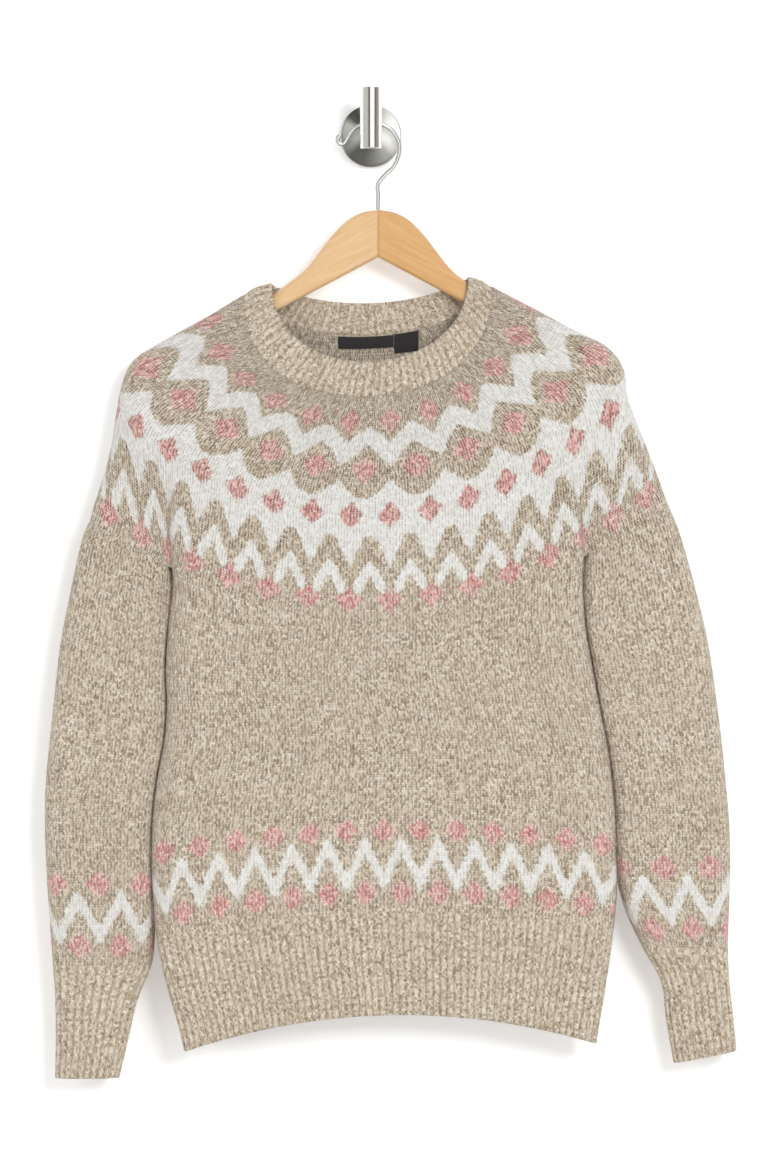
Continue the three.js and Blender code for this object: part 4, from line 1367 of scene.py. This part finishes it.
@dataclass(frozen=True)
class Label:
    """A woven label against the inside of the yoke's back, in courses below the neck seam."""

    name: str
    left: float
    right: float
    top: float
    bottom: float
    thickness: float = 0.6
    columns: int = 40
    rows: int = 16

    def _face(self, gap: float) -> np.ndarray:
        """One face of the label, at a gap from the cloth.

        Args:
            gap: the gap.

        Returns:
            Rows of points.
        """
        rows = []
        for down in np.linspace(self.top, self.bottom, self.rows):
            course = Course.at(NECK_SEAM_COURSE + down)
            x = np.linspace(self.left, self.right, self.columns)
            across = (2 * x - course.left_x - course.right_x) / (course.right_x - course.left_x)
            y = course.plain_depth(Half.BACK, across, np.full(len(x), course.turn)) - CLOTH - gap
            rows.append(np.stack([x, y, course.height(across, Half.BACK)], axis=1))
        return np.stack(rows)

    def build(self) -> bpy.types.Object:
        """The label as a thin closed piece, its face to the front.

        Returns:
            The label.
        """
        front, back = self._face(0.3 + self.thickness), self._face(0.3)
        rings = np.concatenate([front, back[::-1]])
        height, width = rings.shape[:2]
        faces = []
        for i in range(height):
            for j in range(width - 1):
                k = (i + 1) % height
                faces.append([i * width + j, k * width + j, k * width + j + 1, i * width + j + 1])
        for column, turn in ((0, 1), (width - 1, -1)):
            for k in range(self.rows - 1):
                low, high = k, height - 1 - k
                quad = [low, high, high - 1, low + 1]
                faces.append([row * width + column for row in quad][::turn])
        return shown_mesh(self.name, rings.reshape(-1, 3), faces, smooth=False)


class Wiring:
    """Builds a material's nodes."""

    def __init__(self, name: str) -> None:
        """Starts a material with its shader and output."""
        self.material = bpy.data.materials.new(name)
        self.material.use_nodes = True
        self.tree = self.material.node_tree
        self.shader = self.tree.nodes["Principled BSDF"]

    def add(self, kind: str, settings: dict | None = None, **inputs: object) -> bpy.types.Node:
        """Adds a node.

        Args:
            kind: the node's type.
            settings: its own settings.
            inputs: values or sockets of its inputs, by name or by number as "i0".

        Returns:
            The node.
        """
        node = self.tree.nodes.new(kind)
        for name, value in (settings or {}).items():
            setattr(node, name, value)
        for name, value in inputs.items():
            numbered = name[0] == "i" and name[1:].isdigit()
            self.feed(node.inputs[int(name[1:]) if numbered else name.replace("_", " ")], value)
        return node

    def feed(self, socket: bpy.types.NodeSocket, value: object) -> None:
        """Links a socket to another, or sets its value."""
        if isinstance(value, bpy.types.NodeSocket):
            self.tree.links.new(value, socket)
        else:
            socket.default_value = value

    def math(self, operation: str, a: object, b: object = 0.0, clamp: bool = False) -> bpy.types.NodeSocket:
        """Result of a sum or function of one or two numbers."""
        return self.add("ShaderNodeMath", {"operation": operation, "use_clamp": clamp}, i0=a, i1=b).outputs[0]

    def noise(self, vector: object, scale: float, detail: float = 2.0,
              roughness: float = 0.5) -> bpy.types.NodeSocket:
        """A noise's value at a vector."""
        return self.add("ShaderNodeTexNoise", None, Vector=vector, Scale=scale, Detail=detail,
                        Roughness=roughness).outputs[0]

    def chance(self, vector: object) -> bpy.types.NodeSocket:
        """An even random number for each cell of a vector."""
        return self.add("ShaderNodeTexWhiteNoise", {"noise_dimensions": "3D"}, Vector=vector).outputs["Value"]

    def vector(self, x: object, y: object, z: object = 0.0) -> bpy.types.NodeSocket:
        """A vector of three numbers."""
        return self.add("ShaderNodeCombineXYZ", None, X=x, Y=y, Z=z).outputs[0]

    def blend(self, share: object, a: object, b: object) -> bpy.types.NodeSocket:
        """A colour between two."""
        return self.add("ShaderNodeMix", {"data_type": "RGBA"}, i0=share, i6=a, i7=b).outputs[2]

    def spread(self, value: object, low: float, high: float, to_low: float = 0.0,
               to_high: float = 1.0) -> bpy.types.NodeSocket:
        """A number's range stretched to another, kept within it."""
        node = self.add("ShaderNodeMapRange", None, i0=value, i1=low, i2=high, i3=to_low, i4=to_high)
        return node.outputs[0]

    def ramp(self, value: object, stops: list[tuple[float, Colour]]) -> bpy.types.NodeSocket:
        """A colour for each value.

        Args:
            value: the number, from 0 to 1.
            stops: places in rising order, each with its colour.

        Returns:
            The colour's socket.
        """
        node = self.add("ShaderNodeValToRGB", None, i0=value)
        ramp = node.color_ramp
        while len(ramp.elements) < len(stops):
            ramp.elements.new(1.0)
        for element, (place, colour) in zip(ramp.elements, stops):
            element.position = place
            element.color = (*colour, 1)
        return node.outputs[0]

    def bump(self, height: object, distance: float, strength: float = 1.0) -> bpy.types.NodeSocket:
        """A surface relief from a height."""
        node = self.add("ShaderNodeBump", None, Height=height, Distance=distance, Strength=strength)
        return node.outputs[0]

    def finish(self, **inputs: object) -> bpy.types.Material:
        """Feeds the shader and hands the material over."""
        for name, value in inputs.items():
            self.feed(self.shader.inputs[name.replace("_", " ")], value)
        return self.material


def linear(red: int, green: int, blue: int) -> Colour:
    """A screen colour from 0 to 255 as linear light."""
    shares = (red / 255, green / 255, blue / 255)
    return tuple(c / 12.92 if c <= 0.04045 else ((c + 0.055) / 1.055) ** 2.4 for c in shares)


@dataclass(frozen=True)
class Wool:
    """Heathered wool knitted in stitches, with white and pink yarn where the chart has it."""

    name: str
    ground: tuple[tuple[float, Colour], ...]
    gap: float  # how dark the painted shade between the stitches is
    pinhole: float  # how dark the painted shade in the small holes between the wales is
    relief: float
    furrow: float = 0.0  # how dark the painted shade between the ribs is

    def material(self) -> bpy.types.Material:
        """The wool's shader, drawn from the stitch map, with shade painted between the stitches, in the small
        holes between the wales and in the furrows between the ribs.

        Returns:
            The material.
        """
        w = Wiring(self.name)
        uv = w.add("ShaderNodeUVMap", {"uv_map": "stitches"}).outputs[0]
        parts = w.add("ShaderNodeSeparateXYZ", None, i0=uv)
        u, v = parts.outputs[0], parts.outputs[1]
        across = w.math("ABSOLUTE", w.math("SUBTRACT", w.math("FRACT", u), 0.5))
        slanted = w.math("ADD", v, w.math("MULTIPLY", across, 1.1))
        double = w.math("MULTIPLY", u, 2.0)
        along = w.math("SINE", w.math("MULTIPLY", w.math("FRACT", slanted), math.pi))
        side = w.math("SINE", w.math("MULTIPLY", w.math("FRACT", double), math.pi))
        height = w.math("MULTIPLY", w.math("POWER", along, 0.7), w.math("POWER", side, 0.8))
        height = w.math("POWER", height, 0.7)
        fluff = w.noise(w.vector(w.math("MULTIPLY", u, 3.1), w.math("MULTIPLY", v, 1.7)), 2.3, 3.0, 0.7)
        cell = w.chance(w.vector(w.math("FLOOR", double), w.math("FLOOR", slanted)))
        stitch = w.chance(w.vector(w.math("FLOOR", u), w.math("FLOOR", slanted), 7.0))
        strand = w.noise(w.vector(w.math("MULTIPLY", u, 3.0), w.math("MULTIPLY", v, 1.3)), 1.7, 2.0, 0.8)
        heather = w.math("ADD", w.math("MULTIPLY", cell, 0.4), w.math("MULTIPLY", stitch, 0.12))
        heather = w.math("ADD", heather, w.math("MULTIPLY", w.spread(strand, 0.32, 0.68), 0.48))
        heather = w.spread(heather, 0.2, 0.8)
        place = w.add("ShaderNodeTexCoord").outputs["Object"]
        cloud = w.noise(place, 26.0, 2.0)
        ground = w.ramp(heather, list(self.ground))
        ground = w.blend(w.spread(cloud, 0.3, 0.7, 0.0, 0.3), ground, (*linear(206, 190, 168), 1))
        rust = w.spread(w.math("MULTIPLY", stitch, w.math("ADD", cell, fluff)), 1.12, 1.3, 0.0, 0.5)
        ground = w.blend(rust, ground, (*linear(192, 152, 116), 1))
        jitter = w.math("MULTIPLY", w.math("SUBTRACT", cell, 0.5), 0.22)
        fuzzy = w.math("ADD", jitter, w.math("MULTIPLY", w.math("SUBTRACT", fluff, 0.5), 0.5))
        white_at = w.add("ShaderNodeAttribute", {"attribute_name": "white"}).outputs["Fac"]
        pink_at = w.add("ShaderNodeAttribute", {"attribute_name": "pink"}).outputs["Fac"]
        white = w.spread(w.math("ADD", white_at, fuzzy), 0.2, 0.68)
        pink = w.spread(w.math("ADD", pink_at, fuzzy), 0.18, 0.7)
        cream = w.ramp(cell, [
            (0.0, linear(234, 231, 223)), (0.5, linear(244, 242, 238)), (1.0, linear(250, 249, 247)),
        ])
        rose = w.ramp(heather, [
            (0.05, linear(184, 112, 107)), (0.35, linear(222, 156, 151)),
            (0.6, linear(240, 192, 186)), (0.9, linear(248, 229, 221)),
        ])
        colour = w.blend(white, w.blend(pink, ground, rose), cream)
        above = w.add("ShaderNodeSeparateXYZ", None, i0=place).outputs[2]
        near_neck = w.spread(above, -0.42, -0.3, 0.6, 1.0)
        # painted shade: the wool is darkened in the hollows between the stitches, less under white yarn
        painted_stitch_shade = w.spread(w.math("ADD", height, w.math("MULTIPLY", fluff, 0.3)), 0.12, 0.55, 1.0, 0.0)
        covered = w.math("SUBTRACT", 1.0, w.math("MULTIPLY", white, 0.55))
        gap = w.math("MULTIPLY", covered, self.gap)
        colour = w.blend(w.math("MULTIPLY", painted_stitch_shade, gap, True), colour, (*linear(120, 98, 72), 1))
        # painted shade: small dark holes between the wales, strongest near the neck and weaker under white
        # yarn
        lot = w.chance(w.vector(w.math("FLOOR", w.math("ADD", u, 0.5)), w.math("FLOOR", slanted), 3.0))
        beside = w.spread(across, 0.16, 0.36)
        level = w.math("ABSOLUTE", w.math("SUBTRACT", w.math("FRACT", slanted), 0.5))
        between_rounds = w.spread(level, 0.02, 0.24)
        painted_pinhole_shade = w.math("MULTIPLY", w.math("MULTIPLY", beside, between_rounds), w.spread(lot, 0.25, 0.75))
        strength = w.math("MULTIPLY", covered, self.pinhole)
        painted_pinhole_shade = w.math("MULTIPLY", w.math("MULTIPLY", painted_pinhole_shade, near_neck), strength)
        colour = w.blend(painted_pinhole_shade, colour, (*linear(84, 64, 44), 1))
        if self.furrow:
            # painted shade in the furrows between the ribs
            rib = w.math("FRACT", w.math("ADD", w.math("MULTIPLY", u, 0.5), 0.25))
            away = w.math("ABSOLUTE", w.math("SUBTRACT", rib, 0.5))
            away = w.math("ADD", away, w.math("MULTIPLY", w.math("SUBTRACT", fluff, 0.5), 0.14))
            colour = w.blend(w.spread(away, 0.26, 0.5, 0.0, self.furrow), colour, (*linear(112, 90, 66), 1))
        relief = w.math("ADD", height, w.math("MULTIPLY", fluff, 0.5))
        return w.finish(
            Base_Color=colour, Roughness=0.95, Normal=w.bump(relief, self.relief * MM, 0.8),
            Sheen_Weight=0.25, Sheen_Roughness=0.6, Specular_IOR_Level=0.15,
        )


GROUND = (
    (0.04, linear(116, 94, 70)), (0.2, linear(168, 148, 121)), (0.4, linear(207, 191, 167)),
    (0.6, linear(223, 209, 188)), (0.8, linear(241, 233, 218)), (0.95, linear(252, 248, 238)),
)
STOCKING_WOOL = Wool("heathered wool", GROUND, gap=0.34, pinhole=1.0, relief=1.0)
RIB_WOOL = Wool("heathered rib wool", GROUND, gap=0.36, pinhole=0.2, relief=0.7, furrow=0.44)


@dataclass(frozen=True)
class Wood:
    """Pale varnished beech with its grain along the arm."""

    name: str
    tilt: float  # degrees that the grain rises to the right
    dark: Colour
    middle: Colour
    light: Colour

    def material(self) -> bpy.types.Material:
        """The wood's shader.

        Returns:
            The material.
        """
        w = Wiring(self.name)
        place = w.add("ShaderNodeTexCoord").outputs["Object"]
        turn = (0.0, math.radians(self.tilt), 0.0)
        laid = w.add("ShaderNodeMapping", None, Vector=place, Rotation=turn).outputs[0]
        long = w.add("ShaderNodeMapping", None, Vector=laid, Scale=(5.0, 50.0, 62.0)).outputs[0]
        grain = w.noise(long, 5.0, 5.0, 0.6)
        short = w.add("ShaderNodeMapping", None, Vector=laid, Scale=(40.0, 500.0, 500.0)).outputs[0]
        pores = w.noise(short, 4.0, 2.0)
        tone = w.math("ADD", w.math("MULTIPLY", grain, 0.82), w.math("MULTIPLY", pores, 0.18))
        colour = w.ramp(tone, [(0.32, self.dark), (0.5, self.middle), (0.66, self.light)])
        return w.finish(Base_Color=colour, Roughness=0.36, Coat_Weight=0.3, Coat_Roughness=0.18,
                        Normal=w.bump(grain, 0.0002, 0.35))


# The two arms are one beech with painted light: the left arm's copy is painted lighter, as lit, and the right
# arm's darker and warmer, as in shade.
WOODS = {
    Side.LEFT: Wood("pale beech", 27.0, linear(208, 168, 122), linear(214, 177, 131),
                    linear(220, 188, 146)),
    Side.RIGHT: Wood("warm beech", -27.0, linear(196, 148, 94), linear(204, 158, 104),
                     linear(211, 168, 116)),
}


def wire_material() -> bpy.types.Material:
    """Drawn wire with painted reflection: light where it faces the front and dark towards its sides.

    Returns:
        The material.
    """
    w = Wiring("chromed wire")
    front = w.add("ShaderNodeAttribute", {"attribute_name": "front"}).outputs["Fac"]
    # painted reflection: dark sides and a bright front painted into the metal's colour
    colour = w.ramp(front, [
        (0.0, linear(70, 70, 72)), (0.5, linear(84, 84, 86)), (0.74, linear(232, 232, 231)),
    ])
    return w.finish(Base_Color=colour, Metallic=1.0, Roughness=0.1)


def steel_material(name: str, turned_face: bool) -> bpy.types.Material:
    """Brushed steel, in circles round the middle of a turned face or along a bar. A turned face has its conic
    reflection painted into its colour.

    Args:
        name: the finish.
        turned_face: whether it was brushed on a lathe.

    Returns:
        The material.
    """
    w = Wiring(name)
    place = w.add("ShaderNodeTexCoord").outputs["Object"]
    stretched = w.add("ShaderNodeMapping", None, Vector=place, Scale=(900.0, 60.0, 90.0)).outputs[0]
    fine = w.noise(stretched, 3.0, 2.0)
    if turned_face:
        parts = w.add("ShaderNodeSeparateXYZ", None, i0=place).outputs
        angle = w.math("DIVIDE", w.math("ARCTAN2", parts[2], parts[0]), 2 * math.pi)
        drift = w.math("MULTIPLY", w.math("SUBTRACT", fine, 0.5), 0.012)
        turn = w.math("FRACT", w.math("ADD", angle, drift))
        # painted reflection: the turned face's conic sheen, light and dark sectors painted into its colour by
        # the angle round its middle
        colour = w.ramp(turn, [(where, linear(tone, tone, tone - 5)) for where, tone in PAINTED_TURNED_SHEEN])
        tangent = w.add("ShaderNodeTangent", {"direction_type": "RADIAL", "axis": "Y"}).outputs[0]
        return w.finish(Base_Color=colour, Metallic=1.0, Roughness=0.34, Anisotropic=0.6, Tangent=tangent)
    colour = w.ramp(fine, [(0.3, linear(218, 215, 210)), (0.7, linear(238, 236, 232))])
    return w.finish(Base_Color=colour, Metallic=1.0, Roughness=0.14)


def label_material() -> bpy.types.Material:
    """Black woven ribbon.

    Returns:
        The material.
    """
    w = Wiring("black woven label")
    place = w.add("ShaderNodeTexCoord").outputs["Object"]
    weave = w.add("ShaderNodeTexWave", None, Vector=place, Scale=700.0).outputs[1]
    colour = w.ramp(weave, [(0.0, linear(24, 22, 23)), (1.0, linear(46, 43, 44))])
    return w.finish(Base_Color=colour, Roughness=0.7, Normal=w.bump(weave, 0.0001, 0.5))


class Studio:
    """The white wall, the floor, the lights and the camera."""

    def __init__(self) -> None:
        """Builds the whole studio."""
        self._camera()
        self._wall()
        self._floor()
        self._lights()
        bpy.context.scene.view_settings.view_transform = "Standard"

    def _camera(self) -> None:
        """A long lens straight in front of the jumper."""
        lens = bpy.data.cameras.new("camera")
        lens.lens = 215
        lens.sensor_width = 36
        camera = bpy.data.objects.new("camera", lens)
        camera.location = (0.01615, -5.984, -0.3842)
        camera.rotation_euler = (math.radians(90), 0, 0)
        bpy.context.scene.collection.objects.link(camera)
        bpy.context.scene.camera = camera

    def _wall(self) -> None:
        """White wall behind the plate, seen from its front only."""
        corners = np.array([(-3000, 1, -1300), (3000, 1, -1300), (3000, 1, 1600), (-3000, 1, 1600)])
        wall = shown_mesh("wall", corners, [[0, 1, 2, 3]], smooth=False)
        w = Wiring("white wall")
        w.feed(w.shader.inputs["Base Color"], (0.9, 0.9, 0.9, 1))
        w.feed(w.shader.inputs["Emission Color"], (1, 1, 1, 1))
        w.feed(w.shader.inputs["Emission Strength"], WALL_GLOW)
        w.feed(w.shader.inputs["Roughness"], 1.0)
        w.feed(w.shader.inputs["Specular IOR Level"], 0.0)
        clear = w.add("ShaderNodeBsdfTransparent").outputs[0]
        behind = w.add("ShaderNodeNewGeometry").outputs["Backfacing"]
        chosen = w.add("ShaderNodeMixShader", None, i0=behind, i1=w.shader.outputs[0], i2=clear).outputs[0]
        w.feed(w.tree.nodes["Material Output"].inputs["Surface"], chosen)
        wall.data.materials.append(w.material)
        wall.visible_shadow = False

    def _floor(self) -> None:
        """Plain pale floor below the jumper."""
        corners = [(-3000, 3000, -1300), (-3000, -5000, -1300), (3000, -5000, -1300), (3000, 3000, -1300)]
        floor = shown_mesh("floor", np.array(corners), [[0, 1, 2, 3]], smooth=False)
        w = Wiring("pale floor")
        floor.data.materials.append(w.finish(Base_Color=(0.7, 0.69, 0.67, 1), Roughness=0.9))

    def _lights(self) -> None:
        """A broad soft light from the upper right and an even white room."""
        self._area("key light", (1.9, -4.4, 0.95), 1.5, KEY_POWER)
        self._area("fill light", (-2.8, -2.6, 0.2), 2.4, FILL_POWER)
        self._room()

    def _room(self) -> None:
        """An even white room, in which shiny things mirror lamps and dark screens."""
        world = bpy.data.worlds.new("room")
        world.use_nodes = True
        nodes, links = world.node_tree.nodes, world.node_tree.links
        parts = nodes.new("ShaderNodeSeparateXYZ")
        links.new(nodes.new("ShaderNodeTexCoord").outputs["Generated"], parts.inputs[0])
        place = nodes.new("ShaderNodeMath")
        place.operation = "MULTIPLY_ADD"
        place.inputs[1].default_value = 0.5
        place.inputs[2].default_value = 0.5
        links.new(parts.outputs[0], place.inputs[0])
        bands = nodes.new("ShaderNodeValToRGB")
        links.new(place.outputs[0], bands.inputs[0])
        while len(bands.color_ramp.elements) < len(STUDIO_BANDS):
            bands.color_ramp.elements.new(1.0)
        for element, (where, light) in zip(bands.color_ramp.elements, STUDIO_BANDS):
            element.position = where
            element.color = (light, light, light * 0.98, 1)
        mirrored = nodes.new("ShaderNodeBackground")
        mirrored.inputs[1].default_value = MIRRORED_LIGHT
        links.new(bands.outputs[0], mirrored.inputs[0])
        chosen = nodes.new("ShaderNodeMixShader")
        links.new(nodes.new("ShaderNodeLightPath").outputs["Is Glossy Ray"], chosen.inputs[0])
        even = nodes["Background"]
        even.inputs[0].default_value = (1, 1, 1, 1)
        even.inputs[1].default_value = ROOM_LIGHT
        links.new(even.outputs[0], chosen.inputs[1])
        links.new(mirrored.outputs[0], chosen.inputs[2])
        links.new(chosen.outputs[0], nodes["World Output"].inputs[0])
        bpy.context.scene.world = world

    def _area(self, name: str, location: tuple[float, float, float], size: float, power: float) -> None:
        """A square lamp that faces the middle of the jumper.

        Args:
            name: the lamp's name.
            location: where it hangs, in metres.
            size: its side.
            power: its power in watts.
        """
        lamp = bpy.data.lights.new(name, "AREA")
        lamp.size = size
        lamp.energy = power
        held = bpy.data.objects.new(name, lamp)
        held.location = location
        aim = np.array([0.016, -0.03, -0.4]) - np.array(location)
        held.visible_glossy = False
        held.rotation_euler = Vector(aim).to_track_quat("-Z", "Y").to_euler()
        bpy.context.scene.collection.objects.link(held)


@dataclass(frozen=True)
class Fuzz:
    """Short loose fibres that stand out from the wool."""

    density: float = 60000.0  # fibres on a square metre
    length: float = 5.5  # of a fibre, in millimetres
    width: float = 0.16

    def fibre(self) -> bpy.types.Object:
        """One curved fibre, a narrow band of three stretches that starts at the origin.

        Returns:
            The fibre.
        """
        points = []
        for k in range(4):
            along = k / 3
            half = self.width / 2 * (1 - 0.55 * along)
            x, z = self.length * 0.75 * along, self.length * 0.32 * math.sin(2.2 * along)
            points += [(x, -half, z), (x, half, z)]
        faces = [[2 * k, 2 * k + 2, 2 * k + 3, 2 * k + 1] for k in range(3)]
        return shown_mesh("fibre", np.array(points), faces)

    def _tree(self, fibre: bpy.types.Object, material: bpy.types.Material) -> bpy.types.GeometryNodeTree:
        """Nodes that strew fibres over a face, turned at random.

        Args:
            fibre: the fibre that is repeated.
            material: its finish.

        Returns:
            The node group.
        """
        tree = bpy.data.node_groups.new("strewn fibres", "GeometryNodeTree")
        tree.interface.new_socket("Cloth", in_out="INPUT", socket_type="NodeSocketGeometry")
        tree.interface.new_socket("Density", in_out="INPUT", socket_type="NodeSocketFloat")
        tree.interface.new_socket("Seed", in_out="INPUT", socket_type="NodeSocketInt")
        tree.interface.new_socket("Fibres", in_out="OUTPUT", socket_type="NodeSocketGeometry")
        nodes, link = tree.nodes, tree.links.new
        given, made = nodes.new("NodeGroupInput"), nodes.new("NodeGroupOutput")
        strew = nodes.new("GeometryNodeDistributePointsOnFaces")
        outside = nodes.new("GeometryNodeInputNamedAttribute")
        outside.inputs["Name"].default_value = "outside"
        thick = nodes.new("ShaderNodeMath")
        thick.operation = "MULTIPLY"
        place = nodes.new("GeometryNodeInstanceOnPoints")
        source = nodes.new("GeometryNodeObjectInfo")
        source.inputs["Object"].default_value = fibre
        chance = nodes.new("FunctionNodeRandomValue")
        chance.data_type = "FLOAT_VECTOR"
        chance.inputs[0].default_value = (-0.5, -0.5, 0.0)
        chance.inputs[1].default_value = (0.5, 0.5, 2 * math.pi)
        turn = nodes.new("FunctionNodeRotateRotation")
        turn.rotation_space = "LOCAL"
        size = nodes.new("FunctionNodeRandomValue")
        size.inputs[2].default_value = 0.4
        size.inputs[3].default_value = 1.2
        real = nodes.new("GeometryNodeRealizeInstances")
        finish = nodes.new("GeometryNodeSetMaterial")
        finish.inputs["Material"].default_value = material
        link(given.outputs["Cloth"], strew.inputs["Mesh"])
        link(given.outputs["Density"], thick.inputs[0])
        link(outside.outputs["Attribute"], thick.inputs[1])
        link(thick.outputs[0], strew.inputs["Density"])
        link(given.outputs["Seed"], strew.inputs["Seed"])
        link(strew.outputs["Points"], place.inputs["Points"])
        link(source.outputs["Geometry"], place.inputs["Instance"])
        link(strew.outputs["Rotation"], turn.inputs["Rotation"])
        link(chance.outputs[0], turn.inputs["Rotate By"])
        link(turn.outputs["Rotation"], place.inputs["Rotation"])
        link(size.outputs[1], place.inputs["Scale"])
        link(place.outputs["Instances"], real.inputs["Geometry"])
        link(real.outputs["Geometry"], finish.inputs["Geometry"])
        link(finish.outputs["Geometry"], made.inputs["Fibres"])
        return tree

    def grow(self, cloths: list[bpy.types.Object], material: bpy.types.Material) -> list[bpy.types.Object]:
        """Strews fibres over each cloth, as plain meshes of their own.

        Args:
            cloths: the knitted pieces.
            material: the fibres' finish.

        Returns:
            One object of fibres for each cloth.
        """
        fibre = self.fibre()
        tree = self._tree(fibre, material)
        sockets = {item.name: item.identifier for item in tree.interface.items_tree if item.in_out == "INPUT"}
        grown = []
        for number, cloth in enumerate(cloths):
            modifier = cloth.modifiers.new("fibres", "NODES")
            modifier.node_group = tree
            modifier[sockets["Density"]] = self.density
            modifier[sockets["Seed"]] = 11 + number
            view = bpy.context.evaluated_depsgraph_get()
            mesh = bpy.data.meshes.new_from_object(cloth.evaluated_get(view))
            cloth.modifiers.remove(modifier)
            mesh.name = f"{cloth.name}_fuzz"
            shown = bpy.data.objects.new(f"{cloth.name}_fuzz", mesh)
            bpy.context.scene.collection.objects.link(shown)
            grown.append(shown)
        bpy.data.objects.remove(fibre)
        return grown


def fibre_material() -> bpy.types.Material:
    """Loose pale fibres."""
    w = Wiring("loose fibres")
    return w.finish(Base_Color=(*linear(232, 222, 206), 1), Roughness=0.9, Sheen_Weight=0.3,
                    Specular_IOR_Level=0.1)


def dress(shown: bpy.types.Object, material: bpy.types.Material, node: str) -> None:
    """Gives a piece its material and its place in the frame.

    Args:
        shown: the piece.
        material: its finish.
        node: the solid that it replaces.
    """
    shown.data.materials.append(material)
    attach(shown, "root")
    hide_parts(node)


@dataclass(frozen=True)
class Cut:
    """The flat size of a knitted piece in metres, all round where it is a tube."""

    width: float
    length: float
    area: float | None = None


def knitted_pieces() -> dict[str, Knit]:
    """Knits the whole jumper.

    Returns:
        Each knitted wall by the node that it replaces.
    """
    body = Body()
    front, back = body.panels()
    front_hem, back_hem = body.hem_ribs()
    pieces = {"yoke": Yoke().knit(), "neckband": neckband(), "front_panel": front, "back_panel": back,
              "front_hem_rib": front_hem, "back_hem_rib": back_hem}
    for side in Side:
        sleeve = Sleeve(side, body)
        pieces[f"sleeve_{side.value}"] = sleeve.knit()
        pieces[f"cuff_{side.value}"] = sleeve.cuff()
    return pieces


def main() -> None:
    """Builds the jumper on its hanger and the studio round it."""
    logging.basicConfig(level=logging.INFO)
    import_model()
    Studio()
    wool, rib = STOCKING_WOOL.material(), RIB_WOOL.material()
    pieces = knitted_pieces()
    cloths = {node: knit.build() for node, knit in pieces.items()}
    fuzzes = Fuzz().grow(list(cloths.values()), fibre_material())
    for node, knit in pieces.items():
        shown = cloths[node]
        ribbed = knit.weave is Weave.RIB
        dress(shown, rib if ribbed else wool, node)
    for fuzz in fuzzes:
        LOG.info("%s: %d faces", fuzz.name, len(fuzz.data.polygons))
        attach(fuzz, "root")
    label = label_material()
    dress(Label("woven_neck_label", -28.1, 19.2, 0.06, 0.42).build(), label, "neck_label")
    dress(Label("woven_size_label", 19.8, 40.5, 0.04, 0.6).build(), label, "size_label")
    for side in Side:
        dress(Hanger().arm(side), WOODS[side].material(), f"hanger_arm_{side.value}")
    dress(Wire().build(), wire_material(), "hanger_hook")
    dress(WallHook().build_plate(), steel_material("turned steel", True), "wall_rose")
    dress(WallHook().build_peg(), steel_material("drawn steel", False), "wall_peg")


if __name__ == "__main__":
    main()
